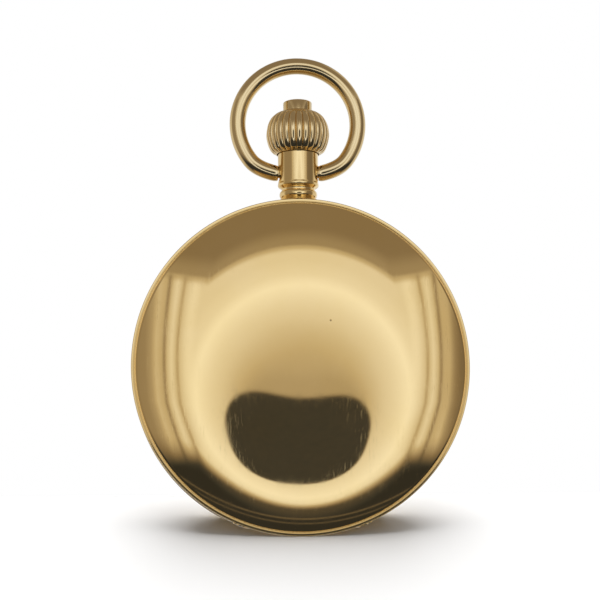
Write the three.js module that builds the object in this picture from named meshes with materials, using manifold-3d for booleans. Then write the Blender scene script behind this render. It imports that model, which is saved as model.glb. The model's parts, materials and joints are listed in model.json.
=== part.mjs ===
// An open face pocket watch: polished gold case with a hinged back and an inner dust cover, a bow,
// a fluted crown with a push-piece through it, and a lever movement with a single-button chronograph.
//
// Units are millimetres. The pendant points up (+Z), the polished back faces -Y and the dial +Y.
// Sizes are measured from the centre of the case; the whole watch is then lifted to stand on z = 0.

import * as THREE from "three";
import { mergeVertices } from "three/addons/utils/BufferGeometryUtils.js";
import Module from "manifold-3d";

const wasm = await Module();
wasm.setup();

// ---------------------------------------------------------------- driving dimensions

const CASE_R = 25; // over the rims of the back cover and the bezel
const GAP = 0.06; // between pieces that sit against each other
const RUN = 0.07; // radial running clearance of a shaft in its hole
const FIT = 0.03; // a hole that is pressed onto its arbor
const ROUND = 32; // sides of the large turned pieces

const rim = { width: 0.75, face: 3.4, seat: 2.95, skirt: 0.5, skirtWall: 0.5, corner: 0.15 };
const back = { apex: 6.6, wall: 0.5, flat: 2, power: 3 };
const band = { recess: 0.65, inner: 21.5, half: 2.9, rebateFloor: 2.4 };
band.rebate = band.inner + 0.9; // the dust cover lies in this step
const cuvette = { wall: 0.35, rimY: 2.85, land: 1, shoulder: 0.55, rise: 1.55, power: 2.5 };
cuvette.r = band.rebate - 0.2;

// The hinge lies under the back cover's rim, just clear of the rim's seat.
const hinge = { r: 0.72, pinR: 0.25, half: 10.1, swing: 2.5, web: 0.45, endGap: 0.25, inset: 2 };
hinge.y = hinge.r + 0.03 - rim.seat;
hinge.z = hinge.inset - CASE_R;
hinge.knuckles = { case: [8.9, hinge.half], back: [4.5, 8.8], cuvette: [1.8, 4.4], middle: 1.7 };

const pendant = { r: 3.05, top: CASE_R + 8, bore: 1.75, core: 2.3, flare: 3.2, pivotZ: CASE_R + 4.4 };
pendant.waist = 2.55; // radii of the mouldings below the tube
pendant.collar = 2.82;
pendant.shoulder = 3.08;
pendant.seat = pendant.r - 0.25; // the bow's ends lie in two shallow seats this far from the axis
const bow = { centreZ: pendant.pivotZ + 7.7, r: 9.12, wireR: 1.22, pinR: 0.6, pinReach: 0.9, footAngle: 38 };
bow.endX = pendant.seat + 0.1;

const stem = { outer: 0.9, inner: 0.42, bottom: band.inner - 0.2 };
const sleeve = { outer: 1.65, inner: stem.outer + 0.08, bottom: CASE_R - 0.4, top: pendant.top - 0.7 };
const button = { r: 2.18, rodR: 0.3, travel: 0.9, height: 3.2, crownHeight: 0.55 };
const crown = { bottom: pendant.top - 0.55, height: 6.6, r: 4.78, ribs: 26, groove: 0.3 };
crown.bore = button.r + RUN;
crown.top = crown.bottom + crown.height;
crown.topR = crown.bore + 0.18;
button.seat = crown.bottom + 4.65;
button.edge = button.seat + button.height;
button.top = button.edge + button.crownHeight;
stem.top = button.seat - button.travel - 0.15;

const bezel = { lip: 20.9, top: 4.9, seatY: 3.95, seatR: 21.8 };
const crystal = { r: bezel.seatR - 0.15, apex: 6.6, wall: 0.9 };
const dial = { r: band.inner - 0.3, back: 2.35, face: 2.8 };
const hands = { small: 2.95, hour: 3.25, minute: 3.65, sweep: 4.05, thick: 0.15 };

// The movement. Heights are y values: the plate lies under the dial and the bridges lie under the cuvette.
const plate = { r: band.inner - 0.3, top: 0.6, bottom: 1.9 };
const bridge = { r: plate.r - 0.2, bottom: -1.4, top: -2.4, foot: plate.r - 2 };
const highCock = { bottom: -2.85, top: -3.4 }; // carries the balance's upper pivot over the hairspring
const lowCock = { bottom: -1.3, top: -1.8 }; // carries the fourth, escape and pallet pivots under the balance
const level = { a: 0.1, b: -0.45, c: -1.0 }; // back faces' y of the three planes that the train wheels run in
const wheelThick = 0.2;
const winding = { back: -2.75, thick: 0.3 }; // ratchet and crown wheel, on top of the bridge
const chrono = { wheelBack: -3.15, wheelThick: 0.15, leverBack: -3.5, hammerBack: -3.85, thick: 0.2 };

const train = {
  barrel: { teeth: 72, module: 0.21 },
  centrePinion: { teeth: 9 },
  centre: { teeth: 64, module: 0.15 },
  thirdPinion: { teeth: 8 },
  third: { teeth: 60, module: 0.147 },
  fourthPinion: { teeth: 8 },
  fourth: { teeth: 70, module: 0.125 },
  escapePinion: { teeth: 7 },
};
const escape = { teeth: 15, r: 2.5, palletDistance: 2.9, leverLength: 3.3 };
const balance = { r: 7, rimWidth: 0.6, back: -2.35, thick: 0.45 };
const keyless = { pinionTeeth: 12, faceTeeth: 22, faceR: 2.93, pinionTip: 1.8, pinionRoot: 1.3 };
const ratchet = { teeth: 60, crownTeeth: 30 };
const motion = { cannonTeeth: 12, minuteTeeth: 36, module: 0.125 };
const hourGear = { pinionTeeth: 10, teeth: 40, module: 0.12 };

// Radii of the arbors and of the thin pivots that turn in the plates.
const arborR = { train: 0.27, escape: 0.22, pallet: 0.18, balance: 0.3, centre: 0.59, barrel: 0.9 };
arborR.barrelPivot = 0.4;
const handArborR = 0.2;
const pivot = { r: 0.15, hole: 0.22, length: 0.4 };

// ---------------------------------------------------------------- places in the movement, as [x, z]

const centreDistance = (wheel, pinion) => ((wheel.teeth + pinion.teeth) / 2) * wheel.module;
const polar = (from, degrees, length) => {
  const turn = THREE.MathUtils.degToRad(degrees);
  return [from[0] + length * Math.cos(turn), from[1] + length * Math.sin(turn)];
};
const distance = (a, b) => Math.hypot(b[0] - a[0], b[1] - a[1]);
const direction = (a, b) => Math.atan2(b[1] - a[1], b[0] - a[0]);

// The point at distances ra from a and rb from b, to the left of the line from a to b.
function meetingPoint(a, ra, b, rb) {
  const d = distance(a, b);
  const along = (ra * ra - rb * rb + d * d) / (2 * d);
  const off = Math.sqrt(ra * ra - along * along);
  const t = direction(a, b);
  return [
    a[0] + along * Math.cos(t) - off * Math.sin(t),
    a[1] + along * Math.sin(t) + off * Math.cos(t),
  ];
}

const at = { centre: [0, 0], fourth: [0, -9.5], recorder: [0, 9], crownWheel: [0, 13.2] };
at.barrel = polar(at.centre, 145, centreDistance(train.barrel, train.centrePinion));
at.third = meetingPoint(
  at.centre,
  centreDistance(train.centre, train.thirdPinion),
  at.fourth,
  centreDistance(train.third, train.fourthPinion),
);
at.escape = polar(at.fourth, -3, centreDistance(train.fourth, train.escapePinion));
at.pallet = polar(at.escape, 35, escape.palletDistance);
at.balance = polar(at.pallet, 35, escape.leverLength);
at.column = [7.6, 9.9];
at.hammer = [12.6, 1.6];
at.click = [-13.6, 10.6];
at.lever = [9.6, 5.6];
at.minuteWheel = polar(at.centre, 45, ((motion.cannonTeeth + motion.minuteTeeth) / 2) * motion.module);

const driveR = 3.6;
const couplingR = 1.6;
const couplingGap = { drive: 0.05, runner: 0.3 };
const couplingReach = driveR + couplingR;
at.coupling = meetingPoint(
  at.fourth,
  couplingReach + couplingGap.drive,
  at.centre,
  couplingReach + couplingGap.runner,
);
at.coupling = [Math.abs(at.coupling[0]), at.coupling[1]];

// ---------------------------------------------------------------- solids

// A closed three.js geometry as a manifold-3d solid with its faces pointing out.
function solid(geometry) {
  const bare = geometry.clone();
  bare.deleteAttribute("normal");
  bare.deleteAttribute("uv");
  const merged = mergeVertices(bare, 1e-4);
  const vertices = merged.attributes.position.array;
  const index = merged.index.array;
  const triangles = [];
  for (let i = 0; i < index.length; i += 3) {
    const [a, b, c] = index.slice(i, i + 3);
    if (a !== b && b !== c && c !== a) triangles.push(a, b, c);
  }
  const make = (list) =>
    new wasm.Manifold(
      new wasm.Mesh({ numProp: 3, vertProperties: vertices, triVerts: new Uint32Array(list) }),
    );
  const made = make(triangles);
  return made.volume() > 0 ? made : make(triangles.reverse());
}

const join = (first, ...others) => others.reduce((whole, piece) => whole.add(piece), first);
const cut = (first, ...others) => others.reduce((whole, piece) => whole.subtract(piece), first);

// A solid turned about the dial axis (Y) from [radius, y] points.
function turned(profile, sides = ROUND) {
  const points = profile.map(([r, y]) => new THREE.Vector2(r, y));
  return solid(new THREE.LatheGeometry(points, sides));
}

// A solid turned about the pendant axis (Z) from [radius, z] points.
function turnedUp(profile, sides = 24) {
  const points = profile.map(([r, z]) => new THREE.Vector2(r, z));
  return solid(new THREE.LatheGeometry(points, sides).rotateX(Math.PI / 2));
}

// A flat piece: a shape in the x, z plane, from height y0 to height y1.
function flat(shape, y0, y1, curveSegments = 3) {
  const geometry = new THREE.ExtrudeGeometry(shape, { depth: y1 - y0, bevelEnabled: false, curveSegments });
  return solid(geometry.rotateX(Math.PI / 2).translate(0, y1, 0));
}

// A round bar along the dial axis at place [x, z].
function bar(place, r, y0, y1, sides = 10) {
  const geometry = new THREE.CylinderGeometry(r, r, y1 - y0, sides);
  return solid(geometry.translate(place[0], (y0 + y1) / 2, place[1]));
}

function tube(place, r, bore, y0, y1, sides = 16) {
  return cut(bar(place, r, y0, y1, sides), bar(place, bore, y0 - 1, y1 + 1, sides));
}

// A round bar along X.
function crossBar(r, x0, x1, y, z, sides = 12) {
  const geometry = new THREE.CylinderGeometry(r, r, x1 - x0, sides).rotateZ(Math.PI / 2);
  return solid(geometry.translate((x0 + x1) / 2, y, z));
}

function upBar(r, z0, z1, sides = 16) {
  return turnedUp([[0, z0], [r, z0], [r, z1], [0, z1]], sides);
}

function box(x0, x1, y0, y1, z0, z1) {
  const geometry = new THREE.BoxGeometry(x1 - x0, y1 - y0, z1 - z0);
  return solid(geometry.translate((x0 + x1) / 2, (y0 + y1) / 2, (z0 + z1) / 2));
}

// A flat link with a round end of radius ra at a and one of radius rb at b.
function link(a, ra, b, rb, y0, y1) {
  const d = distance(a, b);
  const spread = Math.acos((ra - rb) / d);
  const heading = direction(a, b);
  const shape = new THREE.Shape();
  shape.absarc(a[0], a[1], ra, heading + spread, heading - spread + 2 * Math.PI, false);
  shape.absarc(b[0], b[1], rb, heading - spread, heading + spread, false);
  return flat(shape, y0, y1);
}

// ---------------------------------------------------------------- gears

// A closed outline that repeats the same [share of a pitch, radius] corners for each tooth.
function toothedShape(teeth, facing, corners) {
  const pitch = (2 * Math.PI) / teeth;
  const points = Array.from({ length: teeth }, (_, tooth) =>
    corners.map(([share, radius]) => {
      const angle = facing + (tooth + share) * pitch;
      return new THREE.Vector2(radius * Math.cos(angle), radius * Math.sin(angle));
    }),
  );
  return new THREE.Shape(points.flat());
}

// A wheel's many teeth are plain points, one of them at the angle "facing".
function wheelShape({ teeth, module }, facing) {
  const pitchR = (teeth * module) / 2;
  return toothedShape(teeth, facing, [[0, pitchR + 0.9 * module], [0.5, pitchR - 1.5 * module]]);
}

// A pinion's few leaves have flat tips.
function leafShape(teeth, module, facing, { root = 0.27, crest = 0.09, depth = 1.3, tip = 0.8 } = {}) {
  const pitchR = (teeth * module) / 2;
  return toothedShape(teeth, facing, [
    [-root, pitchR - depth * module], [-crest, pitchR + tip * module],
    [crest, pitchR + tip * module], [root, pitchR - depth * module],
  ]);
}

// The windows between the spokes of a wheel at a place, as solids to cut away.
function windows(place, count, inner, outer, spoke, y0, y1, turn = 0, curveSegments = 2) {
  return Array.from({ length: count }, (_, i) => {
    const start = turn + (i * 2 * Math.PI) / count;
    const end = start + (2 * Math.PI) / count;
    const shape = new THREE.Shape();
    shape.absarc(0, 0, outer, start + spoke / 2 / outer, end - spoke / 2 / outer, false);
    shape.absarc(0, 0, inner, end - spoke / 2 / inner, start + spoke / 2 / inner, true);
    return placed(flat(shape, y0 - 1, y1 + 1, curveSegments), place);
  });
}

function placed(piece, place) {
  return piece.translate([place[0], 0, place[1]]);
}

// A spoked train wheel at a place, with a tooth that points at the place of its pinion.
function trainWheel(gear, place, mate, y, bore) {
  const pitchR = (gear.teeth * gear.module) / 2;
  const top = y + wheelThick;
  const wheel = placed(flat(wheelShape(gear, direction(place, mate)), y, top), place);
  const open = windows(place, 4, 0.32 * pitchR, 0.8 * pitchR, 0.16 * pitchR, y, top);
  return cut(wheel, ...open, bar(place, bore, y - 1, top + 1, 8));
}

// A pinion with a gap that faces its wheel.
function pinionLeaves(teeth, module, place, mate, y0, y1) {
  const facing = direction(place, mate) + Math.PI / teeth;
  return placed(flat(leafShape(teeth, module, facing), y0, y1), place);
}

// ---------------------------------------------------------------- case

// A block across the lowest part of the case, as wide as the hinge.
const acrossHinge = (y0, y1, z1) =>
  box(-hinge.half - hinge.endGap, hinge.half + hinge.endGap, y0, y1, -CASE_R - 2, z1);

// Hinge knuckles from x = inner to x = outer on both sides, with webs that reach y = webY and z = webZ.
function knuckles([inner, outer], webY, webZ) {
  const spans = [[inner, outer], [-outer, -inner]];
  const [y0, y1] = [Math.min(webY, hinge.y), Math.max(webY, hinge.y)];
  const both = spans.map(([x0, x1]) =>
    join(crossBar(hinge.r, x0, x1, hinge.y, hinge.z), box(x0, x1, y0, y1, hinge.z - hinge.web, webZ)),
  );
  return join(...both).intersect(bar([0, 0], CASE_R, -8, 8, ROUND));
}

function pinBore() {
  const half = hinge.half + 1;
  return crossBar(hinge.pinR + RUN, -half, half, hinge.y, hinge.z, 8);
}

function caseBand() {
  const outer = CASE_R - band.recess;
  const { inner, half, rebate, rebateFloor } = band;
  const ledge = plate.top + 0.75;
  const ring = turned([
    [inner, -rebateFloor], [rebate, -rebateFloor], [rebate, -half], [outer, -half], [outer, half],
    [inner + 0.5, half], [inner + 0.5, ledge], [inner, ledge], [inner, -rebateFloor],
  ]);
  const swingRoom = acrossHinge(-half - 1, hinge.y + hinge.swing, 0.55 - rebate);
  const ends = knuckles(hinge.knuckles.case, hinge.y + 0.6, -inner + 0.2);
  const middle = knuckles([0, hinge.knuckles.middle], hinge.y + hinge.swing + 0.2, hinge.z + hinge.web);
  const stemHole = upBar(sleeve.outer + GAP, inner - 1, CASE_R, 20);
  return cut(join(cut(ring, swingRoom, stemHole), ends, middle), pinBore());
}

// A cover's dome as [radius, y] points, from radius "from" at y0 to the edge at y1.
function domeProfile(from, y0, edgeR, y1, steps, power) {
  return Array.from({ length: steps + 1 }, (_, i) => {
    const share = Math.sqrt(i / steps);
    return [from + (edgeR - from) * share, y0 + (y1 - y0) * share ** power];
  });
}

function backCover() {
  const domeR = CASE_R - rim.width;
  const { apex, wall, flat: flatR, power } = back;
  const skirtY = -rim.seat + rim.skirt;
  const outside = domeProfile(flatR, -apex, domeR, -rim.face, 6, power);
  const inside = domeProfile(flatR, -apex + wall, domeR - 1.2, -rim.seat, 5, power).reverse();
  const shell = turned([
    [0, -apex], ...outside, [CASE_R - rim.corner, -rim.face + 0.05], [CASE_R, -rim.face + 0.2],
    [CASE_R, skirtY], [CASE_R - rim.skirtWall, skirtY], [CASE_R - rim.skirtWall, -rim.seat],
    ...inside, [0, -apex + wall],
  ]);
  const skirtGap = acrossHinge(-rim.seat, 0, hinge.z + 1.2);
  const leaves = knuckles(hinge.knuckles.back, -rim.seat - 0.2, hinge.z + 0.5);
  return cut(join(cut(shell, skirtGap), leaves), pinBore(), pendantNotch(-rim.seat, 0));
}

// The skirts of the back cover and the bezel are open where the pendant's root passes between them.
function pendantNotch(y0, y1) {
  const half = pendant.core + 0.15;
  return box(-half, half, y0, y1, CASE_R - 2, CASE_R + 1);
}

function dustCover() {
  const { r, wall, rimY, land, shoulder, rise, power } = cuvette;
  const outside = domeProfile(0, -rimY - shoulder - rise, r - land - 0.5, -rimY - shoulder, 5, power);
  const shell = turned([
    ...outside, [r - land, -rimY], [r, -rimY], [r, -rimY + wall], [r - land - 0.2, -rimY + wall],
    ...cuvetteInside().reverse(),
  ]);
  const tab = -r + land;
  const leaves = knuckles(hinge.knuckles.cuvette, -rimY, hinge.z + 0.85);
  const tabs = [-1, 1].map((side) => {
    const middle = (side * (hinge.knuckles.cuvette[0] + hinge.knuckles.cuvette[1])) / 2;
    const half = (hinge.knuckles.cuvette[1] - hinge.knuckles.cuvette[0]) / 2;
    return box(middle - half, middle + half, -rimY, -rimY + wall, hinge.z, tab);
  });
  return cut(join(shell, leaves, ...tabs), pinBore());
}

function cuvetteInside() {
  const { r, wall, rimY, land, shoulder, rise, power } = cuvette;
  const y = -rimY - shoulder + wall;
  return domeProfile(0, y - rise, r - land - 0.85, y, 5, power);
}

// The room for the movement under the dust cover.
function roomUnderCuvette() {
  const { r, wall, rimY, land } = cuvette;
  const inside = cuvetteInside().map(([radius, y]) => [Math.max(radius - 0.15, 0), y + 0.12]);
  const edge = r - land - 0.35;
  return turned([...inside, [edge, -rimY + wall + 0.1], [edge, 5], [0, 5]]);
}

function hingePin() {
  const half = hinge.half - 0.4;
  return crossBar(hinge.pinR, -half, half, hinge.y, hinge.z, 8);
}

function frontBezel() {
  const { lip, top, seatY, seatR } = bezel;
  const skirtY = rim.seat - rim.skirt;
  const shell = turned([
    [lip, rim.seat], [CASE_R - rim.skirtWall, rim.seat], [CASE_R - rim.skirtWall, skirtY], [CASE_R, skirtY],
    [CASE_R, rim.face - 0.2], [CASE_R - rim.corner, rim.face], [CASE_R - rim.width, rim.face],
    [CASE_R - 1.7, rim.face + 1.2], [CASE_R - 2.5, top], [seatR + 0.2, top - 0.15], [seatR, seatY],
    [lip, seatY], [lip, rim.seat],
  ]);
  return cut(shell, pendantNotch(0, rim.seat));
}

function watchGlass() {
  const { r, apex, wall } = crystal;
  const foot = bezel.seatY + GAP;
  const rise = (radius, low, high) => low + (high - low) * (1 - (radius / r) ** 2);
  const radii = [7, 13, 18];
  return turned([
    [0, apex], ...radii.map((radius) => [radius, rise(radius, foot + 1, apex)]), [r, foot + 1], [r, foot],
    [r - 0.6, foot], ...radii.toReversed().map((radius) => [radius, rise(radius, foot, apex - wall)]),
    [0, apex - wall],
  ], 24);
}

// ---------------------------------------------------------------- pendant, bow and crown

// Two round bars on the bow's axis, one on each side, from x = inner to x = outer.
const bothEnds = (r, inner, outer) => [
  crossBar(r, inner, outer, 0, pendant.pivotZ, 12),
  crossBar(r, -outer, -inner, 0, pendant.pivotZ, 12),
];

function pendantNeck() {
  const base = CASE_R - 0.75;
  const outline = [
    [0, base], [pendant.flare, base], [pendant.flare, CASE_R], [pendant.collar - 0.1, CASE_R + 0.6],
    [pendant.collar, CASE_R + 1.4], [pendant.waist, CASE_R + 1.8], [pendant.waist, CASE_R + 2.1],
    [pendant.shoulder, CASE_R + 2.45], [pendant.shoulder, CASE_R + 2.8], [pendant.r, CASE_R + 3.1],
    [pendant.r, pendant.top], [0, pendant.top],
  ];
  const saddle = bar([0, 0], CASE_R + GAP, -6, 6, ROUND);
  const core = upBar(pendant.core, CASE_R - band.recess + GAP, CASE_R + 1, 20);
  const reach = bow.pinReach + 0.05;
  const pivots = bothEnds(bow.pinR + RUN, pendant.r - reach, pendant.r + 1);
  const seats = bothEnds(bow.wireR + 0.18, pendant.seat, pendant.r + 1);
  const bore = upBar(pendant.bore, CASE_R - 2, pendant.top + 1, 20);
  return cut(join(cut(turnedUp(outline, 20), saddle), core), bore, ...pivots, ...seats);
}

function pendantSleeve() {
  return cut(
    upBar(sleeve.outer, sleeve.bottom, sleeve.top, 12),
    upBar(sleeve.inner, sleeve.bottom - 1, sleeve.top + 1, 12),
  );
}

// The bow: most of a circle of round wire, whose ends run in to the pendant and carry pivots.
function bowRing() {
  const { centreZ, r, wireR, pinR, pinReach, endX, footAngle } = bow;
  const foot = (sign) => [
    new THREE.Vector3(sign * (endX - 0.3), 0, pendant.pivotZ - 0.05),
    new THREE.Vector3(sign * (endX + 1.45), 0, pendant.pivotZ + 0.33),
    new THREE.Vector3(sign * (endX + 2.9), 0, pendant.pivotZ + 1.15),
  ];
  const steps = 20;
  const arc = Array.from({ length: steps + 1 }, (_, i) => {
    const angle = THREE.MathUtils.degToRad(-footAngle + ((180 + 2 * footAngle) * i) / steps);
    return new THREE.Vector3(r * Math.cos(angle), 0, centreZ + r * Math.sin(angle));
  });
  const path = new THREE.CatmullRomCurve3([...foot(1), ...arc, ...foot(-1).reverse()]);
  const section = new THREE.Shape().absarc(0, 0, wireR, 0, 2 * Math.PI, false);
  const sweep = { steps: 34, curveSegments: 4, extrudePath: path, bevelEnabled: false };
  const wire = solid(new THREE.ExtrudeGeometry(section, sweep));
  const between = box(-endX, endX, -wireR - 1, wireR + 1, pendant.pivotZ - 3, pendant.pivotZ + 3);
  return join(cut(wire, between), ...bothEnds(pinR, pendant.r - pinReach + 0.05, endX + 0.5));
}

// The fluted crown: a turned pumpkin shape whose grooves are pressed in between the ribs.
function flutedCrown() {
  const { bottom, top, r, topR, ribs, groove, bore } = crown;
  const skin = [
    [0.72 * r, bottom], [0.84 * r, bottom + 0.45], [0.93 * r, bottom + 1.35], [r, bottom + 2.8],
    [0.98 * r, bottom + 3.9], [0.93 * r, bottom + 4.8], [0.83 * r, bottom + 5.6], [topR + 0.5, top - 0.3],
  ];
  const profile = [[0, bottom], ...skin, [topR, top], [0, top]];
  const geometry = new THREE.LatheGeometry(profile.map(([x, z]) => new THREE.Vector2(x, z)), ribs * 2);
  const position = geometry.attributes.position;
  for (let i = 0; i < position.count; i++) {
    const between = Math.floor(i / profile.length) % 2 === 1;
    const point = i % profile.length;
    if (!between || point === 0 || point > skin.length) continue;
    const scale = 1 - groove / Math.hypot(position.getX(i), position.getZ(i));
    position.setX(i, position.getX(i) * scale);
    position.setZ(i, position.getZ(i) * scale);
  }
  const seat = button.seat - 0.5 - button.travel;
  return cut(
    solid(geometry.rotateX(Math.PI / 2)),
    upBar(pendant.r + 0.15, bottom - 1, bottom + 0.75, 20),
    upBar(stem.outer + GAP, bottom, top, 12),
    upBar(bore, seat, top + 1, 20),
  );
}

function windingStem() {
  const { outer, inner, bottom, top } = stem;
  return turnedUp([[inner, bottom], [outer, bottom], [outer, top], [inner, top], [inner, bottom]], 12);
}

// The push rod ends beside the crown wheel's middle, where it meets the operating lever.
const rodFoot = at.crownWheel[1] - 1.3;

function pushButton() {
  const { r, top, edge, seat, rodR } = button;
  return turnedUp([
    [0, rodFoot], [rodR, rodFoot], [rodR, seat], [r, seat], [r, edge],
    [0.85 * r, edge + 0.3], [0.5 * r, top - 0.08], [0, top],
  ], 20);
}

// ---------------------------------------------------------------- winding work

const arborInner = at.crownWheel[1] - 0.7;

const windingArborR = stem.outer - 0.1;

function windingArbor() {
  const top = stem.bottom - 0.1;
  const bore = upBar(button.rodR + 0.08, arborInner - 1, top + 1, 12);
  return cut(upBar(windingArborR, arborInner, top, 12), bore);
}

const pinionZ = [at.crownWheel[1] + keyless.faceR - 0.43, at.crownWheel[1] + keyless.faceR + 0.4];

function windingPinion() {
  const { pinionTeeth, pinionTip, pinionRoot } = keyless;
  const pitchR = (pinionTip + pinionRoot) / 2;
  const module = (2 * pitchR) / pinionTeeth;
  const shape = leafShape(pinionTeeth, module, -Math.PI / 2, {
    root: 0.3, crest: 0.12, depth: (pitchR - pinionRoot) / module, tip: (pinionTip - pitchR) / module,
  });
  const [bottom, top] = pinionZ;
  const geometry = new THREE.ExtrudeGeometry(shape, { depth: top - bottom, bevelEnabled: false });
  const leaves = solid(geometry.translate(0, 0, bottom));
  return cut(leaves, upBar(windingArborR + FIT, bottom - 1, top + 1, 12));
}

const windingModule = distance(at.barrel, at.crownWheel) / ((ratchet.teeth + ratchet.crownTeeth) / 2);

const faceHalf = 0.33; // half the width of the ring that carries the face teeth

// The crown wheel: spur teeth outside for the ratchet wheel, and face teeth below for the winding pinion.
function crownWheel() {
  const { faceTeeth, faceR, pinionTip } = keyless;
  const facing = direction(at.crownWheel, at.barrel);
  const shape = wheelShape({ teeth: ratchet.crownTeeth, module: windingModule }, facing);
  const discTop = winding.back + winding.thick;
  const disc = placed(flat(shape, winding.back, discTop), at.crownWheel);
  const ringTop = -pinionTip - 0.05;
  const ring = tube(at.crownWheel, faceR + faceHalf, faceR - faceHalf, discTop - 0.05, ringTop, 22);
  const teeth = Array.from({ length: faceTeeth }, (_, i) => {
    const turn = ((i + 0.5) * 2 * Math.PI) / faceTeeth;
    const tooth = new THREE.BoxGeometry(0.26, 0.44, 0.5).translate(0, ringTop + 0.18, faceR).rotateY(turn);
    return solid(tooth.translate(at.crownWheel[0], 0, at.crownWheel[1]));
  });
  return cut(join(disc, ring, ...teeth), bar(at.crownWheel, 1.3, -5, 0, 12));
}

function ratchetWheel() {
  const facing = direction(at.barrel, at.crownWheel) + Math.PI / ratchet.teeth;
  const shape = wheelShape({ teeth: ratchet.teeth, module: windingModule }, facing);
  const wheel = placed(flat(shape, winding.back, winding.back + winding.thick), at.barrel);
  return cut(wheel, bar(at.barrel, arborR.barrel + FIT + 0.01, -5, 0, 12));
}

function clickPawl() {
  const away = direction(at.barrel, at.click);
  const reach = (ratchet.teeth * windingModule) / 2 + windingModule + 0.25;
  const tip = [
    at.barrel[0] + reach * Math.cos(away - 0.22),
    at.barrel[1] + reach * Math.sin(away - 0.22),
  ];
  const body = link(at.click, 0.75, tip, 0.16, winding.back, winding.back + winding.thick);
  return cut(body, bar(at.click, 0.32, -4, 0, 10));
}

// ---------------------------------------------------------------- power and train

function barrelDrum() {
  const { teeth, module } = train.barrel;
  const flange = wheelShape(train.barrel, direction(at.barrel, at.centre));
  const toothed = placed(flat(flange, level.c, level.c + 0.25), at.barrel);
  const drumR = (teeth * module) / 2 - 1.6 * module;
  const drum = bar(at.barrel, drumR, level.c - 0.25, -0.05, 24);
  const hollow = bar(at.barrel, drumR - 0.35, level.c - 0.05, -0.25, 24);
  return cut(join(toothed, drum), hollow, bar(at.barrel, arborR.barrel + RUN, -2, 1, 12));
}

// A flat spiral spring at a place, as a strip of some thickness wound from one radius out to another.
function spiral(place, turns, perTurn, inner, outer, thickness, y0, y1) {
  const steps = turns * perTurn;
  const edge = (side) =>
    Array.from({ length: steps + 1 }, (_, i) => {
      const angle = (i * 2 * Math.PI) / perTurn;
      const r = inner + ((outer - inner) * i) / steps + (side * thickness) / 2;
      return new THREE.Vector2(r * Math.cos(angle), r * Math.sin(angle));
    });
  return placed(flat(new THREE.Shape([...edge(1), ...edge(-1).reverse()]), y0, y1), place);
}

const mainspring = () => spiral(at.barrel, 4, 10, 1.9, 6.2, 0.18, level.c + 0.05, -0.35);

function barrelArbor() {
  return join(
    bar(at.barrel, arborR.barrel, winding.back - 0.1, -0.02, 12),
    bar(at.barrel, arborR.barrelPivot, -0.1, plate.bottom - 0.1, 10),
  );
}

// An arbor with pivots that run in the plate and in a bridge.
function arbor(place, r, low, high) {
  return join(
    bar(place, r, low + 0.05, high - 0.05, 8),
    bar(place, pivot.r, low - pivot.length, high + pivot.length, 8),
  );
}

const seatBore = arborR.train + FIT;

function centreWheel() {
  return trainWheel(train.centre, at.centre, at.third, level.a, arborR.centre + FIT);
}

// The hollow centre arbor turns the minute hand and lets the sweep hand's arbor through.
function centrePinion() {
  const leaves = pinionLeaves(train.centrePinion.teeth, train.barrel.module, at.centre, at.barrel,
    level.c - 0.05, level.c + 0.35);
  const body = join(leaves, bar(at.centre, arborR.centre, bridge.bottom - 0.55, hands.minute - 0.6, 12));
  return cut(body, bar(at.centre, 0.3, -5, 5, 10));
}

function thirdPinion() {
  const leaves = pinionLeaves(train.thirdPinion.teeth, train.centre.module, at.third, at.centre,
    level.a - 0.1, level.a + 0.3);
  return join(leaves, arbor(at.third, arborR.train, bridge.bottom, plate.top));
}

function fourthPinion() {
  const leaves = pinionLeaves(train.fourthPinion.teeth, train.third.module, at.fourth, at.third,
    level.b - 0.1, level.b + 0.3);
  const through = bar(at.fourth, handArborR, chrono.wheelBack - 0.1, hands.small + hands.thick + 0.05, 8);
  return join(leaves, bar(at.fourth, arborR.train, lowCock.bottom + 0.05, plate.top - 0.05, 8), through);
}

function escapePinion() {
  const leaves = pinionLeaves(train.escapePinion.teeth, train.fourth.module, at.escape, at.fourth,
    level.c - 0.1, level.c + 0.3);
  return join(leaves, arbor(at.escape, arborR.escape, lowCock.bottom, plate.top));
}

// The escape wheel: hooked teeth that lean forwards.
function escapeWheel() {
  const { teeth, r } = escape;
  const shape = toothedShape(teeth, 0, [[0, 0.74 * r], [0.75, 0.97 * r], [0.93, r], [0.9, 0.84 * r]]);
  const [y0, y1] = [level.a, level.a + wheelThick];
  const wheel = placed(flat(shape, y0, y1), at.escape);
  const open = windows(at.escape, 4, 0.75, 1.5, 0.35, y0, y1);
  return cut(wheel, ...open, bar(at.escape, arborR.escape + FIT, y0 - 1, y1 + 1, 8));
}

// The lever: an anchor with two arms beside the escape wheel, and a fork that points at the balance staff.
function palletFork() {
  const heading = direction(at.pallet, at.balance);
  const place = (along, across) => [
    at.pallet[0] + along * Math.cos(heading) - across * Math.sin(heading),
    at.pallet[1] + along * Math.sin(heading) + across * Math.cos(heading),
  ];
  const [y0, y1] = [level.a - 0.05, level.a + wheelThick];
  const arms = [-1, 1].map((side) =>
    join(
      link(at.pallet, 0.3, place(-0.15, side * 1.5), 0.2, y0, y1),
      link(place(-0.15, side * 1.5), 0.17, place(-0.45, side * 1.5), 0.15, y0, y1),
      link(place(2.3, 0), 0.14, place(2.7, side * 0.36), 0.12, y0, y1),
    ),
  );
  const lever = link(at.pallet, 0.3, place(2.3, 0), 0.15, y0, y1);
  return join(lever, ...arms, arbor(at.pallet, arborR.pallet, lowCock.bottom, plate.top));
}

function balanceWheel() {
  const { r, rimWidth, back: y, thick } = balance;
  const heading = direction(at.balance, at.pallet);
  const open = windows(at.balance, 2, 1.05, r - rimWidth, 0.8, y, y + thick, heading, 6);
  return cut(bar(at.balance, r, y, y + thick, 28), ...open, bar(at.balance, arborR.balance + FIT, -4, 0, 8));
}

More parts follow.
